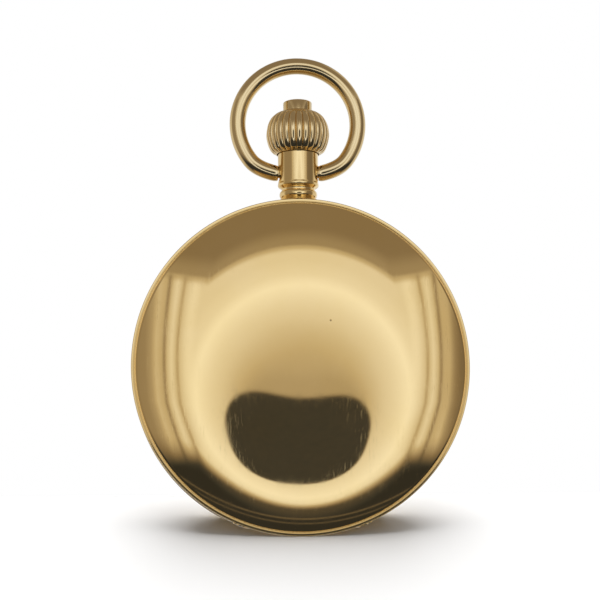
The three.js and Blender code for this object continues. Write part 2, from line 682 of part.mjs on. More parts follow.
function balanceStaff() {
  const roller = bar(at.balance, 0.9, level.a - 0.65, level.a - 0.4, 16);
  const pinPlace = polar(at.balance, 215, 0.68);
  const impulse = bar(pinPlace, 0.12, level.a - 0.42, level.a - 0.1, 8);
  return join(arbor(at.balance, arborR.balance, highCock.bottom, plate.top), roller, impulse);
}

const hairspring = () => spiral(at.balance, 5, 10, 0.75, 3.2, 0.1, -2.72, -2.56);

// ---------------------------------------------------------------- plates and bridges

const disc = (r, y0, y1, sides = ROUND) => bar([0, 0], r, y0, y1, sides);
const pivotHole = (place, y0, y1) => bar(place, pivot.hole, y0, y1, 8);
const handHole = (place, y0, y1) => bar(place, handArborR + 0.1, y0, y1, 8);
const stemChannel = () => upBar(stem.outer + 0.1, arborInner - 0.2, plate.r + 2, 16);

function mainPlate() {
  const { r, top, bottom } = plate;
  const pinionSlot = box(-2, 2, -3, bottom + 0.01, pinionZ[0] - 0.2, pinionZ[1] + 0.2);
  const holes = [at.third, at.escape, at.pallet, at.balance].map((place) => pivotHole(place, 0, top + 0.7));
  const through = [
    bar(at.centre, arborR.centre + RUN, 0, 3, 12), handHole(at.fourth, 0, 3), handHole(at.recorder, 0, 3),
    bar(at.barrel, arborR.barrelPivot + RUN, 0, 3, 10),
  ];
  return cut(disc(r, top, bottom), pinionSlot, stemChannel(), ...holes, ...through);
}

const balanceClear = () => bar(at.balance, balance.r + 0.2, -5, 2, 28);

function trainBridge() {
  const { r, bottom, top, foot } = bridge;
  const rimFoot = cut(disc(r, bottom - 0.1, plate.top - GAP), disc(foot, -3, 2));
  const body = join(disc(r, top, bottom), rimFoot);
  const lower = box(-6, r + 1, -3, 1, -r - 1, -6.5);
  const right = box(4.4, r + 1, -3, 1, -7, -0.5);
  const pinionSlot = box(-2, 2, -2.1, 2, pinionZ[0] - 0.2, pinionZ[1] + 0.2);
  const faceHole = bar(at.crownWheel, keyless.faceR + faceHalf + 0.12, -3, 0, 22);
  const holes = [
    bar(at.barrel, arborR.barrel + RUN, -3, 0, 12), bar(at.centre, arborR.centre + RUN, -3, 0, 12),
    pivotHole(at.third, -2, 0), handHole(at.recorder, -3, 0), bar(at.lever, 0.55, -3, 0, 8),
  ];
  const hookSlot = link(leverElbow, hookR + 0.15, pressedElbow, hookR + 0.15, -3, 0);
  return cut(body, lower, right, balanceClear(), pinionSlot, faceHole, stemChannel(), hookSlot, ...holes);
}

function fourthCock() {
  const { bottom, top } = lowCock;
  const start = [-3.2, -17];
  const arm = join(
    link(start, 2.2, at.fourth, 1.1, top, bottom),
    link(at.fourth, 1.1, at.escape, 1, top, bottom),
    link(at.escape, 1, at.pallet, 0.8, top, bottom),
    bar(start, 2.2, bottom - 0.1, plate.top - GAP, 20),
  );
  const holes = [at.escape, at.pallet].map((place) => pivotHole(place, -3, 0));
  return cut(arm, handHole(at.fourth, -3, 0), ...holes);
}

// The balance cock reaches over the balance from a foot on the edge of the plate.
function balanceCock() {
  const { top, bottom } = highCock;
  const outward = THREE.MathUtils.radToDeg(direction(at.centre, at.balance));
  const footPlace = polar(at.centre, outward, bridge.r);
  const tongue = link(footPlace, 2.6, at.balance, 2, top, bottom);
  const foot = cut(bar(footPlace, 4.2, top, plate.top - GAP, 24), balanceClear());
  const body = join(tongue, foot).intersect(disc(bridge.r, top, plate.top)).intersect(roomUnderCuvette());
  return cut(body, pivotHole(at.balance, bottom - pivot.length - GAP, 0));
}

function regulatorIndex() {
  const [y0, y1] = [-3.7, -3.48];
  const tail = polar(at.balance, 120, 4.2);
  return cut(join(bar(at.balance, 1.15, y0, y1, 16), link(at.balance, 0.45, tail, 0.16, y0, y1)),
    bar(at.balance, 0.55, -5, 0, 12));
}

// ---------------------------------------------------------------- chronograph work

const chronoWheelY = [chrono.wheelBack, chrono.wheelBack + chrono.wheelThick];

// A chronograph wheel's teeth are finer than this model's grain, so its edge is plain.
function chronoWheel(place, r, spokes) {
  const [y0, y1] = chronoWheelY;
  const open = windows(place, spokes, 0.34 * r, 0.82 * r, 0.16 * r, y0, y1, Math.PI / 2);
  return cut(bar(place, r, y0, y1, 24), ...open);
}

// A heart-shaped cam that the hammer strikes to bring a hand back to zero.
function heart(place, r, y0, y1) {
  const shape = new THREE.Shape();
  const sides = 12;
  for (let i = 0; i < sides; i++) {
    const share = Math.abs((2 * i) / sides - 1);
    const radius = r * (0.45 + 0.55 * share);
    const angle = (i * 2 * Math.PI) / sides;
    const [x, z] = [radius * Math.cos(angle), radius * Math.sin(angle)];
    if (i === 0) shape.moveTo(x, z);
    else shape.lineTo(x, z);
  }
  return placed(flat(shape, y0, y1), place);
}

function chronographRunner() {
  return join(
    chronoWheel(at.centre, driveR, 4),
    bar(at.centre, handArborR, chrono.hammerBack - 0.1, hands.sweep + hands.thick + 0.05, 8),
    bar(at.centre, 0.8, chrono.leverBack, chrono.wheelBack + 0.05, 12),
    heart(at.centre, 0.95, chrono.hammerBack, chrono.leverBack + 0.05),
  );
}

function recordingWheel() {
  return join(
    chronoWheel(at.recorder, 2.5, 3),
    bar(at.recorder, handArborR, chrono.hammerBack - 0.1, hands.small + hands.thick + 0.05, 8),
    bar(at.recorder, 0.6, chrono.leverBack, chrono.wheelBack + 0.05, 10),
    heart(at.recorder, 0.85, chrono.hammerBack, chrono.leverBack + 0.05),
  );
}

function driveWheel() {
  return cut(chronoWheel(at.fourth, driveR, 4), bar(at.fourth, handArborR + FIT, -5, 0, 8));
}

function couplingWheel() {
  const hub = bar(at.coupling, 0.35, chrono.leverBack - 0.1, chrono.wheelBack + 0.05, 8);
  return join(chronoWheel(at.coupling, couplingR, 4), hub);
}

function clutchLever() {
  const [y0, y1] = [chrono.leverBack, chrono.leverBack + chrono.thick];
  const elbow = [3.4, 1.6];
  const nose = [5.9, 8.2];
  const body = join(
    link(at.fourth, 1, at.coupling, 0.8, y0, y1),
    link(at.coupling, 0.8, elbow, 0.6, y0, y1),
    link(elbow, 0.6, nose, 0.3, y0, y1),
  );
  return cut(body, bar(at.fourth, 0.3, -5, 0, 10), bar(at.coupling, 0.35 + RUN, -5, 0, 10));
}

// The column wheel: a ratchet below and six columns that the levers fall between.
function columnWheel() {
  const base = placed(flat(leafShape(12, 0.3, 0), winding.back, winding.back + 0.25), at.column);
  const columns = Array.from({ length: 6 }, (_, i) => {
    const place = polar(at.column, i * 60, 1.05);
    return bar(place, 0.26, chrono.leverBack - 0.15, winding.back + 0.1, 6);
  });
  return cut(join(base, ...columns), bar(at.column, 0.35, -5, 0, 8));
}

// The operating lever lies under the bridge: its tail meets the push rod and its hook turns the column wheel.
const leverElbow = [5, 10.6];
const hookR = 0.35;
const leverTail = [0, rodFoot - 0.55];
const leverAngle = button.travel / distance(leverTail, at.lever);
const pressedElbow = polar(
  at.lever,
  THREE.MathUtils.radToDeg(direction(at.lever, leverElbow) + leverAngle),
  distance(at.lever, leverElbow),
);

function operatingLever() {
  const [y0, y1] = [-0.35, 0.1];
  return join(
    link(leverTail, 0.45, leverElbow, 0.6, y0, y1),
    link(leverElbow, 0.6, at.lever, 0.85, y0, y1),
    bar(at.lever, 0.45, bridge.top + 0.1, plate.top - 0.05, 8),
    bar(leverElbow, hookR, winding.back, y1, 8),
  );
}

function hammer() {
  const [y0, y1] = [chrono.hammerBack, chrono.hammerBack + chrono.thick];
  const body = join(
    link(at.hammer, 1.1, [1.75, 0.3], 0.35, y0, y1),
    link(at.hammer, 1.1, [1.7, 8.6], 0.35, y0, y1),
    bar(at.hammer, 0.7, y1 - 0.05, bridge.top - 0.05, 12),
  );
  return cut(body, bar(at.hammer, 0.35, -5, 0, 10));
}

// ---------------------------------------------------------------- dial side

function enamelDial() {
  const small = [at.fourth, at.recorder].map((place) => bar(place, handArborR + 0.15, 0, 4, 8));
  return cut(disc(dial.r, dial.back, dial.face), bar(at.centre, 1.15, 0, 4, 12), ...small);
}

const underDial = plate.bottom + 0.05; // the wheels between the plate and the dial start here

function cannonPinion() {
  const leaves = pinionLeaves(motion.cannonTeeth, motion.module, at.centre, at.minuteWheel, underDial, 2.1);
  const pipe = bar(at.centre, 0.8, underDial, hands.minute - 0.35, 12);
  return cut(join(leaves, pipe), bar(at.centre, arborR.centre + FIT, 0, 5, 12));
}

function minuteWheel() {
  const facing = direction(at.minuteWheel, at.centre);
  const shape = wheelShape({ teeth: motion.minuteTeeth, module: motion.module }, facing);
  const wheel = placed(flat(shape, underDial, 2.08), at.minuteWheel);
  const pinion = pinionLeaves(hourGear.pinionTeeth, hourGear.module, at.minuteWheel, at.centre, 2.05, 2.28);
  return join(wheel, pinion);
}

function hourWheel() {
  const facing = direction(at.centre, at.minuteWheel);
  const wheel = flat(wheelShape(hourGear, facing), 2.14, 2.27);
  const pipe = bar(at.centre, 1.07, 2.2, hands.hour - 0.05, 12);
  return cut(join(wheel, pipe), bar(at.centre, 0.87, 2, 5, 12));
}

// A hand at a place, pointing along "degrees" (90 is up), with a hub, a blade and an open bulb.
function hand(place, { length, width, hub, bore, y, degrees, tail = 0, bulb = 0 }) {
  const [y0, y1] = [y, y + hands.thick];
  const tip = polar(place, degrees, length);
  let body = join(bar(place, hub, y0, y1, 16), link(place, width, tip, 0.08, y0, y1));
  if (tail) body = join(body, link(place, width, polar(place, degrees + 180, tail), 0.3, y0, y1));
  if (bulb) {
    const middle = polar(place, degrees, length * 0.62);
    body = cut(join(body, bar(middle, bulb, y0, y1, 12)), bar(middle, bulb * 0.5, y0 - 1, y1 + 1, 10));
  }
  return cut(body, bar(place, bore, y0 - 1, y1 + 1, 12));
}

// The hands show ten past ten; angles are counted on the dial's own face, which looks along +Y.
const dialAngle = (turnShare) => 90 + 360 * turnShare;
const hourHand = () => hand(at.centre, {
  length: 10.5, width: 0.5, hub: 1.5, bore: 1.1, y: hands.hour, degrees: dialAngle(10.15 / 12), bulb: 1,
});
const minuteHand = () => hand(at.centre, {
  length: 16.5, width: 0.4, hub: 1.2, bore: arborR.centre + FIT, y: hands.minute,
  degrees: dialAngle(9 / 60), bulb: 0.75,
});
const sweepHand = () => hand(at.centre, {
  length: 18, width: 0.14, hub: 0.7, bore: handArborR + FIT, y: hands.sweep, degrees: 90, tail: 4.5,
});
const secondsHand = () => hand(at.fourth, {
  length: 3.6, width: 0.12, hub: 0.45, bore: handArborR + FIT, y: hands.small,
  degrees: dialAngle(35 / 60), tail: 1.1,
});
const counterHand = () => hand(at.recorder, {
  length: 3.3, width: 0.12, hub: 0.45, bore: handArborR + FIT, y: hands.small, degrees: 90, tail: 1,
});

// ---------------------------------------------------------------- assembly

const finish = (color, roughness, metalness = 1) =>
  new THREE.MeshStandardMaterial({ color, roughness, metalness });
const material = {
  gold: finish(0xd9b061, 0.12),
  gilt: finish(0xc9a15a, 0.35),
  steel: finish(0xb9bcc0, 0.2),
  blued: finish(0x1c2f6b, 0.25),
  enamel: finish(0xf4f1e8, 0.15, 0),
  glass: new THREE.MeshStandardMaterial({
    color: 0xf2f6f8, roughness: 0.03, metalness: 0, transparent: true, opacity: 0.25,
  }),
};

const watch = new THREE.Group();
watch.position.z = CASE_R;

function addPiece(name, piece, finishName) {
  const { vertProperties, numProp, numVert, triVerts } = piece.getMesh();
  const vertices = new Float32Array(numVert * 3);
  for (let i = 0; i < numVert; i++) {
    vertices.set(vertProperties.subarray(i * numProp, i * numProp + 3), i * 3);
  }
  const geometry = new THREE.BufferGeometry()
    .setAttribute("position", new THREE.BufferAttribute(vertices, 3))
    .setIndex(new THREE.BufferAttribute(triVerts, 1));
  geometry.computeVertexNormals();
  const mesh = new THREE.Mesh(geometry, material[finishName]);
  mesh.name = name;
  watch.add(mesh);
}

addPiece("case_band", caseBand(), "gold");
addPiece("back_cover", backCover(), "gold");
addPiece("cuvette", dustCover(), "gold");
addPiece("back_hinge_pin", hingePin(), "steel");
addPiece("bezel", frontBezel(), "gold");
addPiece("crystal", watchGlass(), "glass");
addPiece("pendant", pendantNeck(), "gold");
addPiece("pendant_sleeve", pendantSleeve(), "steel");
addPiece("bow", bowRing(), "gold");
addPiece("crown", flutedCrown(), "gold");
addPiece("push_button", pushButton(), "gold");
addPiece("winding_stem", windingStem(), "steel");
addPiece("winding_arbor", windingArbor(), "steel");
addPiece("winding_pinion", windingPinion(), "steel");
addPiece("crown_wheel", crownWheel(), "steel");
addPiece("ratchet_wheel", ratchetWheel(), "steel");
addPiece("click", clickPawl(), "steel");
addPiece("barrel_drum", barrelDrum(), "gilt");
addPiece("barrel_arbor", barrelArbor(), "steel");
addPiece("mainspring", mainspring(), "blued");
addPiece("centre_wheel", centreWheel(), "gilt");
addPiece("centre_pinion", centrePinion(), "steel");
addPiece("third_wheel", trainWheel(train.third, at.third, at.fourth, level.b, seatBore), "gilt");
addPiece("third_pinion", thirdPinion(), "steel");
addPiece("fourth_wheel", trainWheel(train.fourth, at.fourth, at.escape, level.c, seatBore), "gilt");
addPiece("fourth_pinion", fourthPinion(), "steel");
addPiece("escape_wheel", escapeWheel(), "steel");
addPiece("escape_pinion", escapePinion(), "steel");
addPiece("pallet_fork", palletFork(), "steel");
addPiece("balance_wheel", balanceWheel(), "gilt");
addPiece("balance_staff", balanceStaff(), "steel");
addPiece("hairspring", hairspring(), "blued");
addPiece("main_plate", mainPlate(), "gilt");
addPiece("train_bridge", trainBridge(), "gilt");
addPiece("fourth_cock", fourthCock(), "gilt");
addPiece("balance_cock", balanceCock(), "gilt");
addPiece("regulator", regulatorIndex(), "steel");
addPiece("chronograph_runner", chronographRunner(), "gilt");
addPiece("recording_wheel", recordingWheel(), "gilt");
addPiece("chrono_drive_wheel", driveWheel(), "gilt");
addPiece("coupling_wheel", couplingWheel(), "gilt");
addPiece("clutch_lever", clutchLever(), "steel");
addPiece("column_wheel", columnWheel(), "steel");
addPiece("operating_lever", operatingLever(), "steel");
addPiece("hammer", hammer(), "steel");
addPiece("dial", enamelDial(), "enamel");
addPiece("cannon_pinion", cannonPinion(), "steel");
addPiece("minute_wheel", minuteWheel(), "gilt");
addPiece("hour_wheel", hourWheel(), "gilt");
addPiece("hour_hand", hourHand(), "blued");
addPiece("minute_hand", minuteHand(), "blued");
addPiece("chronograph_hand", sweepHand(), "blued");
addPiece("seconds_hand", secondsHand(), "blued");
addPiece("counter_hand", counterHand(), "blued");

export default watch;
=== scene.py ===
"""The looks of an open face pocket watch: polished gold case, enamel dial and gilt movement."""

import json
import math

import bmesh
import bpy
from mathutils import Matrix, Vector

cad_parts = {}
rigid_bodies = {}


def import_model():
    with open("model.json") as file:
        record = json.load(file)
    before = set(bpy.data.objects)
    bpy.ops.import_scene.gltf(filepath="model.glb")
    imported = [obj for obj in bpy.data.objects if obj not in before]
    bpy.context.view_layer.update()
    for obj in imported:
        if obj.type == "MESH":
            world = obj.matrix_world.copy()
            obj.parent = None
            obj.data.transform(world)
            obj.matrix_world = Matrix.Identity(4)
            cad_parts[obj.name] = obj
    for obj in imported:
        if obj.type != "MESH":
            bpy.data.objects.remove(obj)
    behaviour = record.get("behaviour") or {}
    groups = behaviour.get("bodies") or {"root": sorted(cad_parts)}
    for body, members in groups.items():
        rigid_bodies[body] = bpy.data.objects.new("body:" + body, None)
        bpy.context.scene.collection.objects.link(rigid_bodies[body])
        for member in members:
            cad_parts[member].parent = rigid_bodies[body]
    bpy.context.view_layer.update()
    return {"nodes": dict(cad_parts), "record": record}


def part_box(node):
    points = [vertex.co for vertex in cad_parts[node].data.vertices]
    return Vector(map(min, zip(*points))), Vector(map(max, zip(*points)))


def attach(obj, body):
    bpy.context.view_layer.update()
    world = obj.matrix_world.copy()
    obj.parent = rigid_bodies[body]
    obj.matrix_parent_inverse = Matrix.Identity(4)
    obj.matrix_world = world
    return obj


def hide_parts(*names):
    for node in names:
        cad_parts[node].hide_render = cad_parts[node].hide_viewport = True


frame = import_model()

# ---------------------------------------------------------------- sizes, in millimetres, read from the frame

MM = 0.001


def span(node, axis):
    """Lowest and highest place of a CAD node along an axis, 0 for x, 1 for y and 2 for z."""
    low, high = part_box(node)
    return low[axis] / MM, high[axis] / MM


def joint_place(name):
    """The point that a joint turns about."""
    joint = next(j for j in frame["record"]["behaviour"]["joints"] if j["name"] == name)
    return Vector(joint["pos_m"]) / MM


CASE_R = span("back_cover", 0)[1]
MIDDLE = CASE_R  # height of the case's centre, because the rim stands on z = 0
APEX = -span("back_cover", 1)[0]
BAND_R = span("case_band", 0)[1]
BAND_HALF = span("case_band", 1)[1]
BEZEL_TOP = span("bezel", 1)[1]
GLASS_APEX = span("crystal", 1)[1]
GLASS_R = span("crystal", 0)[1]
GLASS_FOOT = span("crystal", 1)[0]
CUVETTE_R = span("cuvette", 0)[1]
CUVETTE_APEX = -span("cuvette", 1)[0]
HINGE = joint_place("back_cover_hinge")
HINGE_HALF = 10.1
KNUCKLE_R = 0.72
HINGE_PROUD = 0.12
PIVOT = joint_place("bow_swing")
CROWN_LOW, CROWN_TOP = span("crown", 2)
CROWN_R = span("crown", 1)[1]
RIBS = 26
BUTTON_TOP = span("push_button", 2)[1]
BUTTON_R = span("push_button", 0)[1]
PENDANT_TOP = span("pendant", 2)[1]
PENDANT_R = 3.05
DIAL_TOP = span("dial", 1)[1]
BOW_TOP = span("bow", 2)[1]

RIM = {"face": 3.4, "width": 0.75, "seat": 2.95, "skirt": 0.5, "skirt_wall": 0.5}
DOME = {"wall": 0.5, "flat": 2.0, "power": 3.0}
BOW = {"wire": span("bow", 1)[1], "end_x": 2.9, "foot_angle": 38.0}
BOW["r"] = span("bow", 0)[1] + 0.03 - BOW["wire"]
BOW["centre"] = BOW_TOP - BOW["wire"] - BOW["r"]
ROUND = 256  # sides of the case's large turned pieces

# ---------------------------------------------------------------- shader and geometry trees


class Value:
    """A socket in a node tree. Sums on it add Math nodes to the tree."""

    def __init__(self, tree, socket):
        self.tree = tree
        self.socket = socket

    def math(self, operation, *others):
        return self.tree.node(self.tree.math_kind, {"operation": operation}, self, *others)

    def __add__(self, other):
        return self.math("ADD", other)

    def __radd__(self, other):
        return self.math("ADD", other)

    def __sub__(self, other):
        return self.math("SUBTRACT", other)

    def __rsub__(self, other):
        return self.tree.node(self.tree.math_kind, {"operation": "SUBTRACT"}, other, self)

    def __mul__(self, other):
        return self.math("MULTIPLY", other)

    def __rmul__(self, other):
        return self.math("MULTIPLY", other)

    def __truediv__(self, other):
        return self.math("DIVIDE", other)

    def __rtruediv__(self, other):
        return self.tree.node(self.tree.math_kind, {"operation": "DIVIDE"}, other, self)

    def __pow__(self, other):
        return self.math("POWER", other)

    def __neg__(self):
        return self.math("MULTIPLY", -1.0)

    def __abs__(self):
        return self.math("ABSOLUTE")

    def root(self):
        return self.math("SQRT")

    def sine(self):
        return self.math("SINE")

    def least(self, other):
        return self.math("MINIMUM", other)

    def most(self, other):
        return self.math("MAXIMUM", other)

    def step(self, low, high):
        """0 below low and 1 above high, with a smooth rise between; high may be the lower of the two."""
        return self.tree.node(
            "ShaderNodeMapRange", {"interpolation_type": "SMOOTHSTEP"}, self, low, high, 0.0, 1.0
        )

    def bump(self, middle, width):
        """1 at the middle, falling smoothly to 0 at half the width on either side."""
        return 1.0 - abs(self - middle).step(0.0, width / 2)


class Tree:
    """A node tree, and the one way that this script adds a node to it."""

    math_kind = "ShaderNodeMath"

    def __init__(self, tree):
        self.tree = tree

    def node(self, kind, settings=None, *values, out=0, **named):
        """Adds a node. Values go to its sockets in order, named ones by name; out is the socket given."""
        made = self.tree.nodes.new(kind)
        for key, setting in (settings or {}).items():
            if key == "stops":
                self.set_stops(made.color_ramp, setting)
            else:
                setattr(made, key, setting)
        enabled = [s for s in made.inputs if s.enabled]
        for socket, value in zip(enabled, values):
            self.connect(value, socket)
        for key, value in named.items():
            self.connect(value, made.inputs[key.replace("_", " ")])
        made_outputs = [s for s in made.outputs if s.enabled]
        if not made_outputs:
            return made
        return Value(self, made.outputs[out] if isinstance(out, str) else made_outputs[out])

    def connect(self, value, socket):
        if isinstance(value, Value):
            self.tree.links.new(value.socket, socket)
        elif value is not None:
            socket.default_value = value

    @staticmethod
    def set_stops(ramp, stops):
        """Sets a colour ramp from (place, colour) pairs."""
        while len(ramp.elements) < len(stops):
            ramp.elements.new(0.5)
        for element, (place, colour) in zip(ramp.elements, stops):
            element.position = place
            element.color = (*colour, 1.0)

    def mix(self, share, low, high):
        """A colour between low and high."""
        return self.node(
            "ShaderNodeMix", {"data_type": "RGBA"}, share, opaque(low), opaque(high)
        )

    def parts(self, vector):
        """The x, y and z of a vector."""
        split = self.tree.nodes.new("ShaderNodeSeparateXYZ")
        self.connect(vector, split.inputs[0])
        return [Value(self, output) for output in split.outputs]

    def place(self):
        return self.node("ShaderNodeTexCoord", out="Object")

    def greys(self, value, *stops):
        """A value looked up between (place, grey) stops."""
        colours = [(place, (grey, grey, grey)) for place, grey in stops]
        return self.node("ShaderNodeValToRGB", {"stops": colours}, value)

    def stretched(self, scale, turn=(0.0, 0.0, 0.0), vector=None):
        """Object coordinates in millimetres, times a scale in each direction."""
        vector = vector or self.place()
        settings = {"vector_type": "POINT"}
        return self.node(
            "ShaderNodeMapping", settings, vector, (0.0, 0.0, 0.0), turn, tuple(s / MM for s in scale)
        )

    def noise(self, vector, scale=1.0, detail=2.0, roughness=0.5):
        return self.node(
            "ShaderNodeTexNoise", None, Vector=vector, Scale=scale, Detail=detail, Roughness=roughness
        )


def opaque(colour):
    """A colour with its alpha, or a socket as it is."""
    return colour if isinstance(colour, Value) or len(colour) == 4 else (*colour, 1.0)


def new_material(name):
    """An empty material, its tree and its principled shader node."""
    material = bpy.data.materials.new(name)
    material.use_nodes = True
    tree = Tree(material.node_tree)
    shader = material.node_tree.nodes["Principled BSDF"]
    return material, tree, shader


def finish_shader(tree, shader, **sockets):
    """Sets the principled shader's sockets by name."""
    for key, value in sockets.items():
        name = key.replace("_", " ")
        if isinstance(value, tuple) and len(value) == 3:
            value = (*value, 1.0)
        tree.connect(value, shader.inputs[name])


# ---------------------------------------------------------------- materials

GOLD = (0.93, 0.70, 0.345)
# A paler, less saturated gold, used for the crown and bow.
PALER_GOLD = (0.86, 0.68, 0.39)
GILT = (0.83, 0.62, 0.30)
STEEL = (0.62, 0.62, 0.63)


def hairlines(tree, spacing, length, turn, amount):
    """A mask of fine straight scratches in one direction, thinned by a broad noise."""
    lines = tree.noise(tree.stretched((1 / spacing, 1 / length, 1 / length), turn), 1.0, 3.0, 0.6)
    where = tree.noise(tree.stretched((0.35, 0.35, 0.35), turn), 1.0, 1.0)
    return lines.step(1.0 - amount, 1.0 - amount + 0.09) * where.step(0.45, 0.62)


def pits(tree, spacing, size):
    """A mask of small round dents, a few of the cells of a Voronoi pattern."""
    cell = {"feature": "F1", "distance": "EUCLIDEAN"}
    vector = tree.stretched((1 / spacing,) * 3)
    away = tree.node("ShaderNodeTexVoronoi", cell, Vector=vector, Scale=1.0, out="Distance")
    chosen = tree.node("ShaderNodeTexVoronoi", cell, Vector=vector, Scale=1.0, out="Color")
    red = tree.node("ShaderNodeSeparateColor", None, chosen, out="Red")
    return (1.0 - away.step(size / spacing * 0.5, size / spacing)) * red.step(0.8, 0.82)


def polished_gold(name, roughness=0.06, wear=1.0, colour=GOLD):
    """Mirror-polished gold with hairlines, faint smears, and small dents that are coloured dark brown."""
    material, tree, shader = new_material(name)
    broad = tree.noise(tree.stretched((0.12, 0.12, 0.12)), 1.0, 3.0)
    smear = tree.noise(tree.stretched((0.5, 0.5, 0.16), (0.3, 0.2, 0.5)), 1.0, 4.0, 0.6)
    grain = tree.noise(tree.stretched((9.0, 9.0, 9.0)), 1.0, 2.0, 0.6)
    scratch = hairlines(tree, 0.05, 3.2, (0.0, 0.6, 0.0), 0.36)
    scratch = scratch.most(hairlines(tree, 0.06, 2.6, (0.0, -0.9, 0.0), 0.34))
    scratch = scratch.most(hairlines(tree, 0.05, 4.0, (0.0, 1.45, 0.0), 0.34))
    dents = pits(tree, 5.0, 0.2)
    tint = tree.mix(broad.step(0.35, 0.7), colour, (colour[0] * 0.985, colour[1] * 0.975, colour[2] * 0.93))
    # The dents are coloured dark brown, and more so where wear is greater.
    tint = tree.mix(dents * 0.75 * wear, tint, (0.2, 0.13, 0.05))
    rough = roughness + 0.035 * smear.step(0.45, 0.75) + 0.09 * wear * scratch + 0.02 * grain
    height = 0.5 * grain - 2.2 * wear * scratch - 9.0 * wear * dents
    normal = tree.node("ShaderNodeBump", None, Strength=0.04, Distance=0.02 * MM, Height=height)
    finish_shader(tree, shader, Base_Color=tint, Metallic=1.0, Roughness=rough, Normal=normal)
    return material


def frosted_gilt(name, colour=GILT, roughness=0.34):
    """Plates gilded over a frosted ground: a fine even grain with a soft sheen and rubbed patches."""
    material, tree, shader = new_material(name)
    grain = tree.noise(tree.stretched((22.0, 22.0, 22.0)), 1.0, 3.0, 0.7)
    broad = tree.noise(tree.stretched((0.25, 0.25, 0.25)), 1.0, 3.0)
    tint = tree.mix(broad.step(0.3, 0.7), colour, (colour[0] * 0.9, colour[1] * 0.84, colour[2] * 0.74))
    rough = roughness + 0.12 * grain - 0.08 * broad
    normal = tree.node("ShaderNodeBump", None, Strength=0.35, Distance=0.012 * MM, Height=grain)
    finish_shader(tree, shader, Base_Color=tint, Metallic=1.0, Roughness=rough, Normal=normal)
    return material


def grained_steel(name, colour=STEEL, roughness=0.2, grain_size=0.03):
    """Steel finished with a fine straight grain."""
    material, tree, shader = new_material(name)
    grain = tree.noise(tree.stretched((1 / grain_size, 0.8, 1.2), (0.0, 0.5, 0.0)), 1.0, 3.0, 0.6)
    broad = tree.noise(tree.stretched((0.4, 0.4, 0.4)), 1.0, 2.0)
    tint = tree.mix(broad, colour, tuple(c * 0.86 for c in colour))
    rough = roughness + 0.14 * grain + 0.05 * broad
    normal = tree.node("ShaderNodeBump", None, Strength=0.12, Distance=0.01 * MM, Height=grain)
    finish_shader(tree, shader, Base_Color=tint, Metallic=1.0, Roughness=rough, Normal=normal)
    return material


def blued_steel(name):
    """Steel blued by heat, with a slight change from cornflower to purple."""
    material, tree, shader = new_material(name)
    broad = tree.noise(tree.stretched((0.35, 0.35, 0.35)), 1.0, 2.0)
    fine = tree.noise(tree.stretched((14.0, 14.0, 14.0)), 1.0, 2.0)
    tint = tree.mix(broad.step(0.35, 0.7), (0.018, 0.055, 0.30), (0.05, 0.03, 0.22))
    finish_shader(tree, shader, Base_Color=tint, Metallic=1.0, Roughness=0.16 + 0.08 * fine)
    return material


def fired_enamel(name):
    """White enamel fired on copper: a glassy coat over a faintly uneven ground."""
    material, tree, shader = new_material(name)
    broad = tree.noise(tree.stretched((0.2, 0.2, 0.2)), 1.0, 3.0)
    specks = tree.noise(tree.stretched((5.0, 5.0, 5.0)), 1.0, 2.0).step(0.74, 0.8)
    tint = tree.mix(broad, (0.86, 0.85, 0.81), (0.83, 0.81, 0.755))
    tint = tree.mix(specks * 0.25, tint, (0.5, 0.47, 0.4))
    ripple = tree.noise(tree.stretched((0.9, 0.9, 0.9)), 1.0, 2.0)
    normal = tree.node("ShaderNodeBump", None, Strength=0.04, Distance=0.05 * MM, Height=ripple)
    finish_shader(tree, shader, Base_Color=tint, Roughness=0.12 + 0.06 * broad, Normal=normal)
    shader.inputs["Coat Weight"].default_value = 0.6
    shader.inputs["Coat Roughness"].default_value = 0.03
    return material


def fired_black(name):
    """The black of painted and fired numerals."""
    material, tree, shader = new_material(name)
    broad = tree.noise(tree.stretched((3.0, 3.0, 3.0)), 1.0, 2.0)
    tint = tree.mix(broad, (0.012, 0.012, 0.014), (0.03, 0.028, 0.028))
    finish_shader(tree, shader, Base_Color=tint, Roughness=0.22 + 0.15 * broad)
    return material


def clear_glass(name):
    """A clear domed glass with a few faint scratches."""
    material, tree, shader = new_material(name)
    scratch = hairlines(tree, 0.06, 3.0, (0.0, 0.4, 0.0), 0.33)
    finish_shader(tree, shader, Base_Color=(0.985, 0.99, 0.99), Roughness=0.01 + 0.1 * scratch)
    shader.inputs["Transmission Weight"].default_value = 1.0
    shader.inputs["IOR"].default_value = 1.5
    return material


def ruby(name):
    """A polished ruby bearing."""
    material, tree, shader = new_material(name)
    depth = tree.noise(tree.stretched((1.5, 1.5, 1.5)), 1.0, 2.0)
    tint = tree.mix(depth, (0.55, 0.02, 0.09), (0.30, 0.008, 0.05))
    finish_shader(tree, shader, Base_Color=tint, Roughness=0.04 + 0.03 * depth)
    shader.inputs["Coat Weight"].default_value = 1.0
    shader.inputs["Transmission Weight"].default_value = 0.25
    return material


COVER_GOLD = polished_gold("polished gold of the cover", 0.028)
CASE_GOLD = polished_gold("polished gold of the case", 0.07)
WORN_GOLD = polished_gold("handled gold of the crown and bow", 0.09, 1.3, PALER_GOLD)
FROSTED = frosted_gilt("frosted gilt")
WHEEL_GILT = frosted_gilt("polished gilt of the wheels", (0.86, 0.66, 0.34), 0.2)
GRAINED = grained_steel("grained steel")
BRIGHT_STEEL = grained_steel("bright steel", (0.7, 0.7, 0.71), 0.1)
BLUED = blued_steel("blued steel")
ENAMEL = fired_enamel("fired enamel")
BLACK = fired_black("fired black")
GLASS = clear_glass("clear glass")
RUBY = ruby("ruby")

# ---------------------------------------------------------------- mesh making


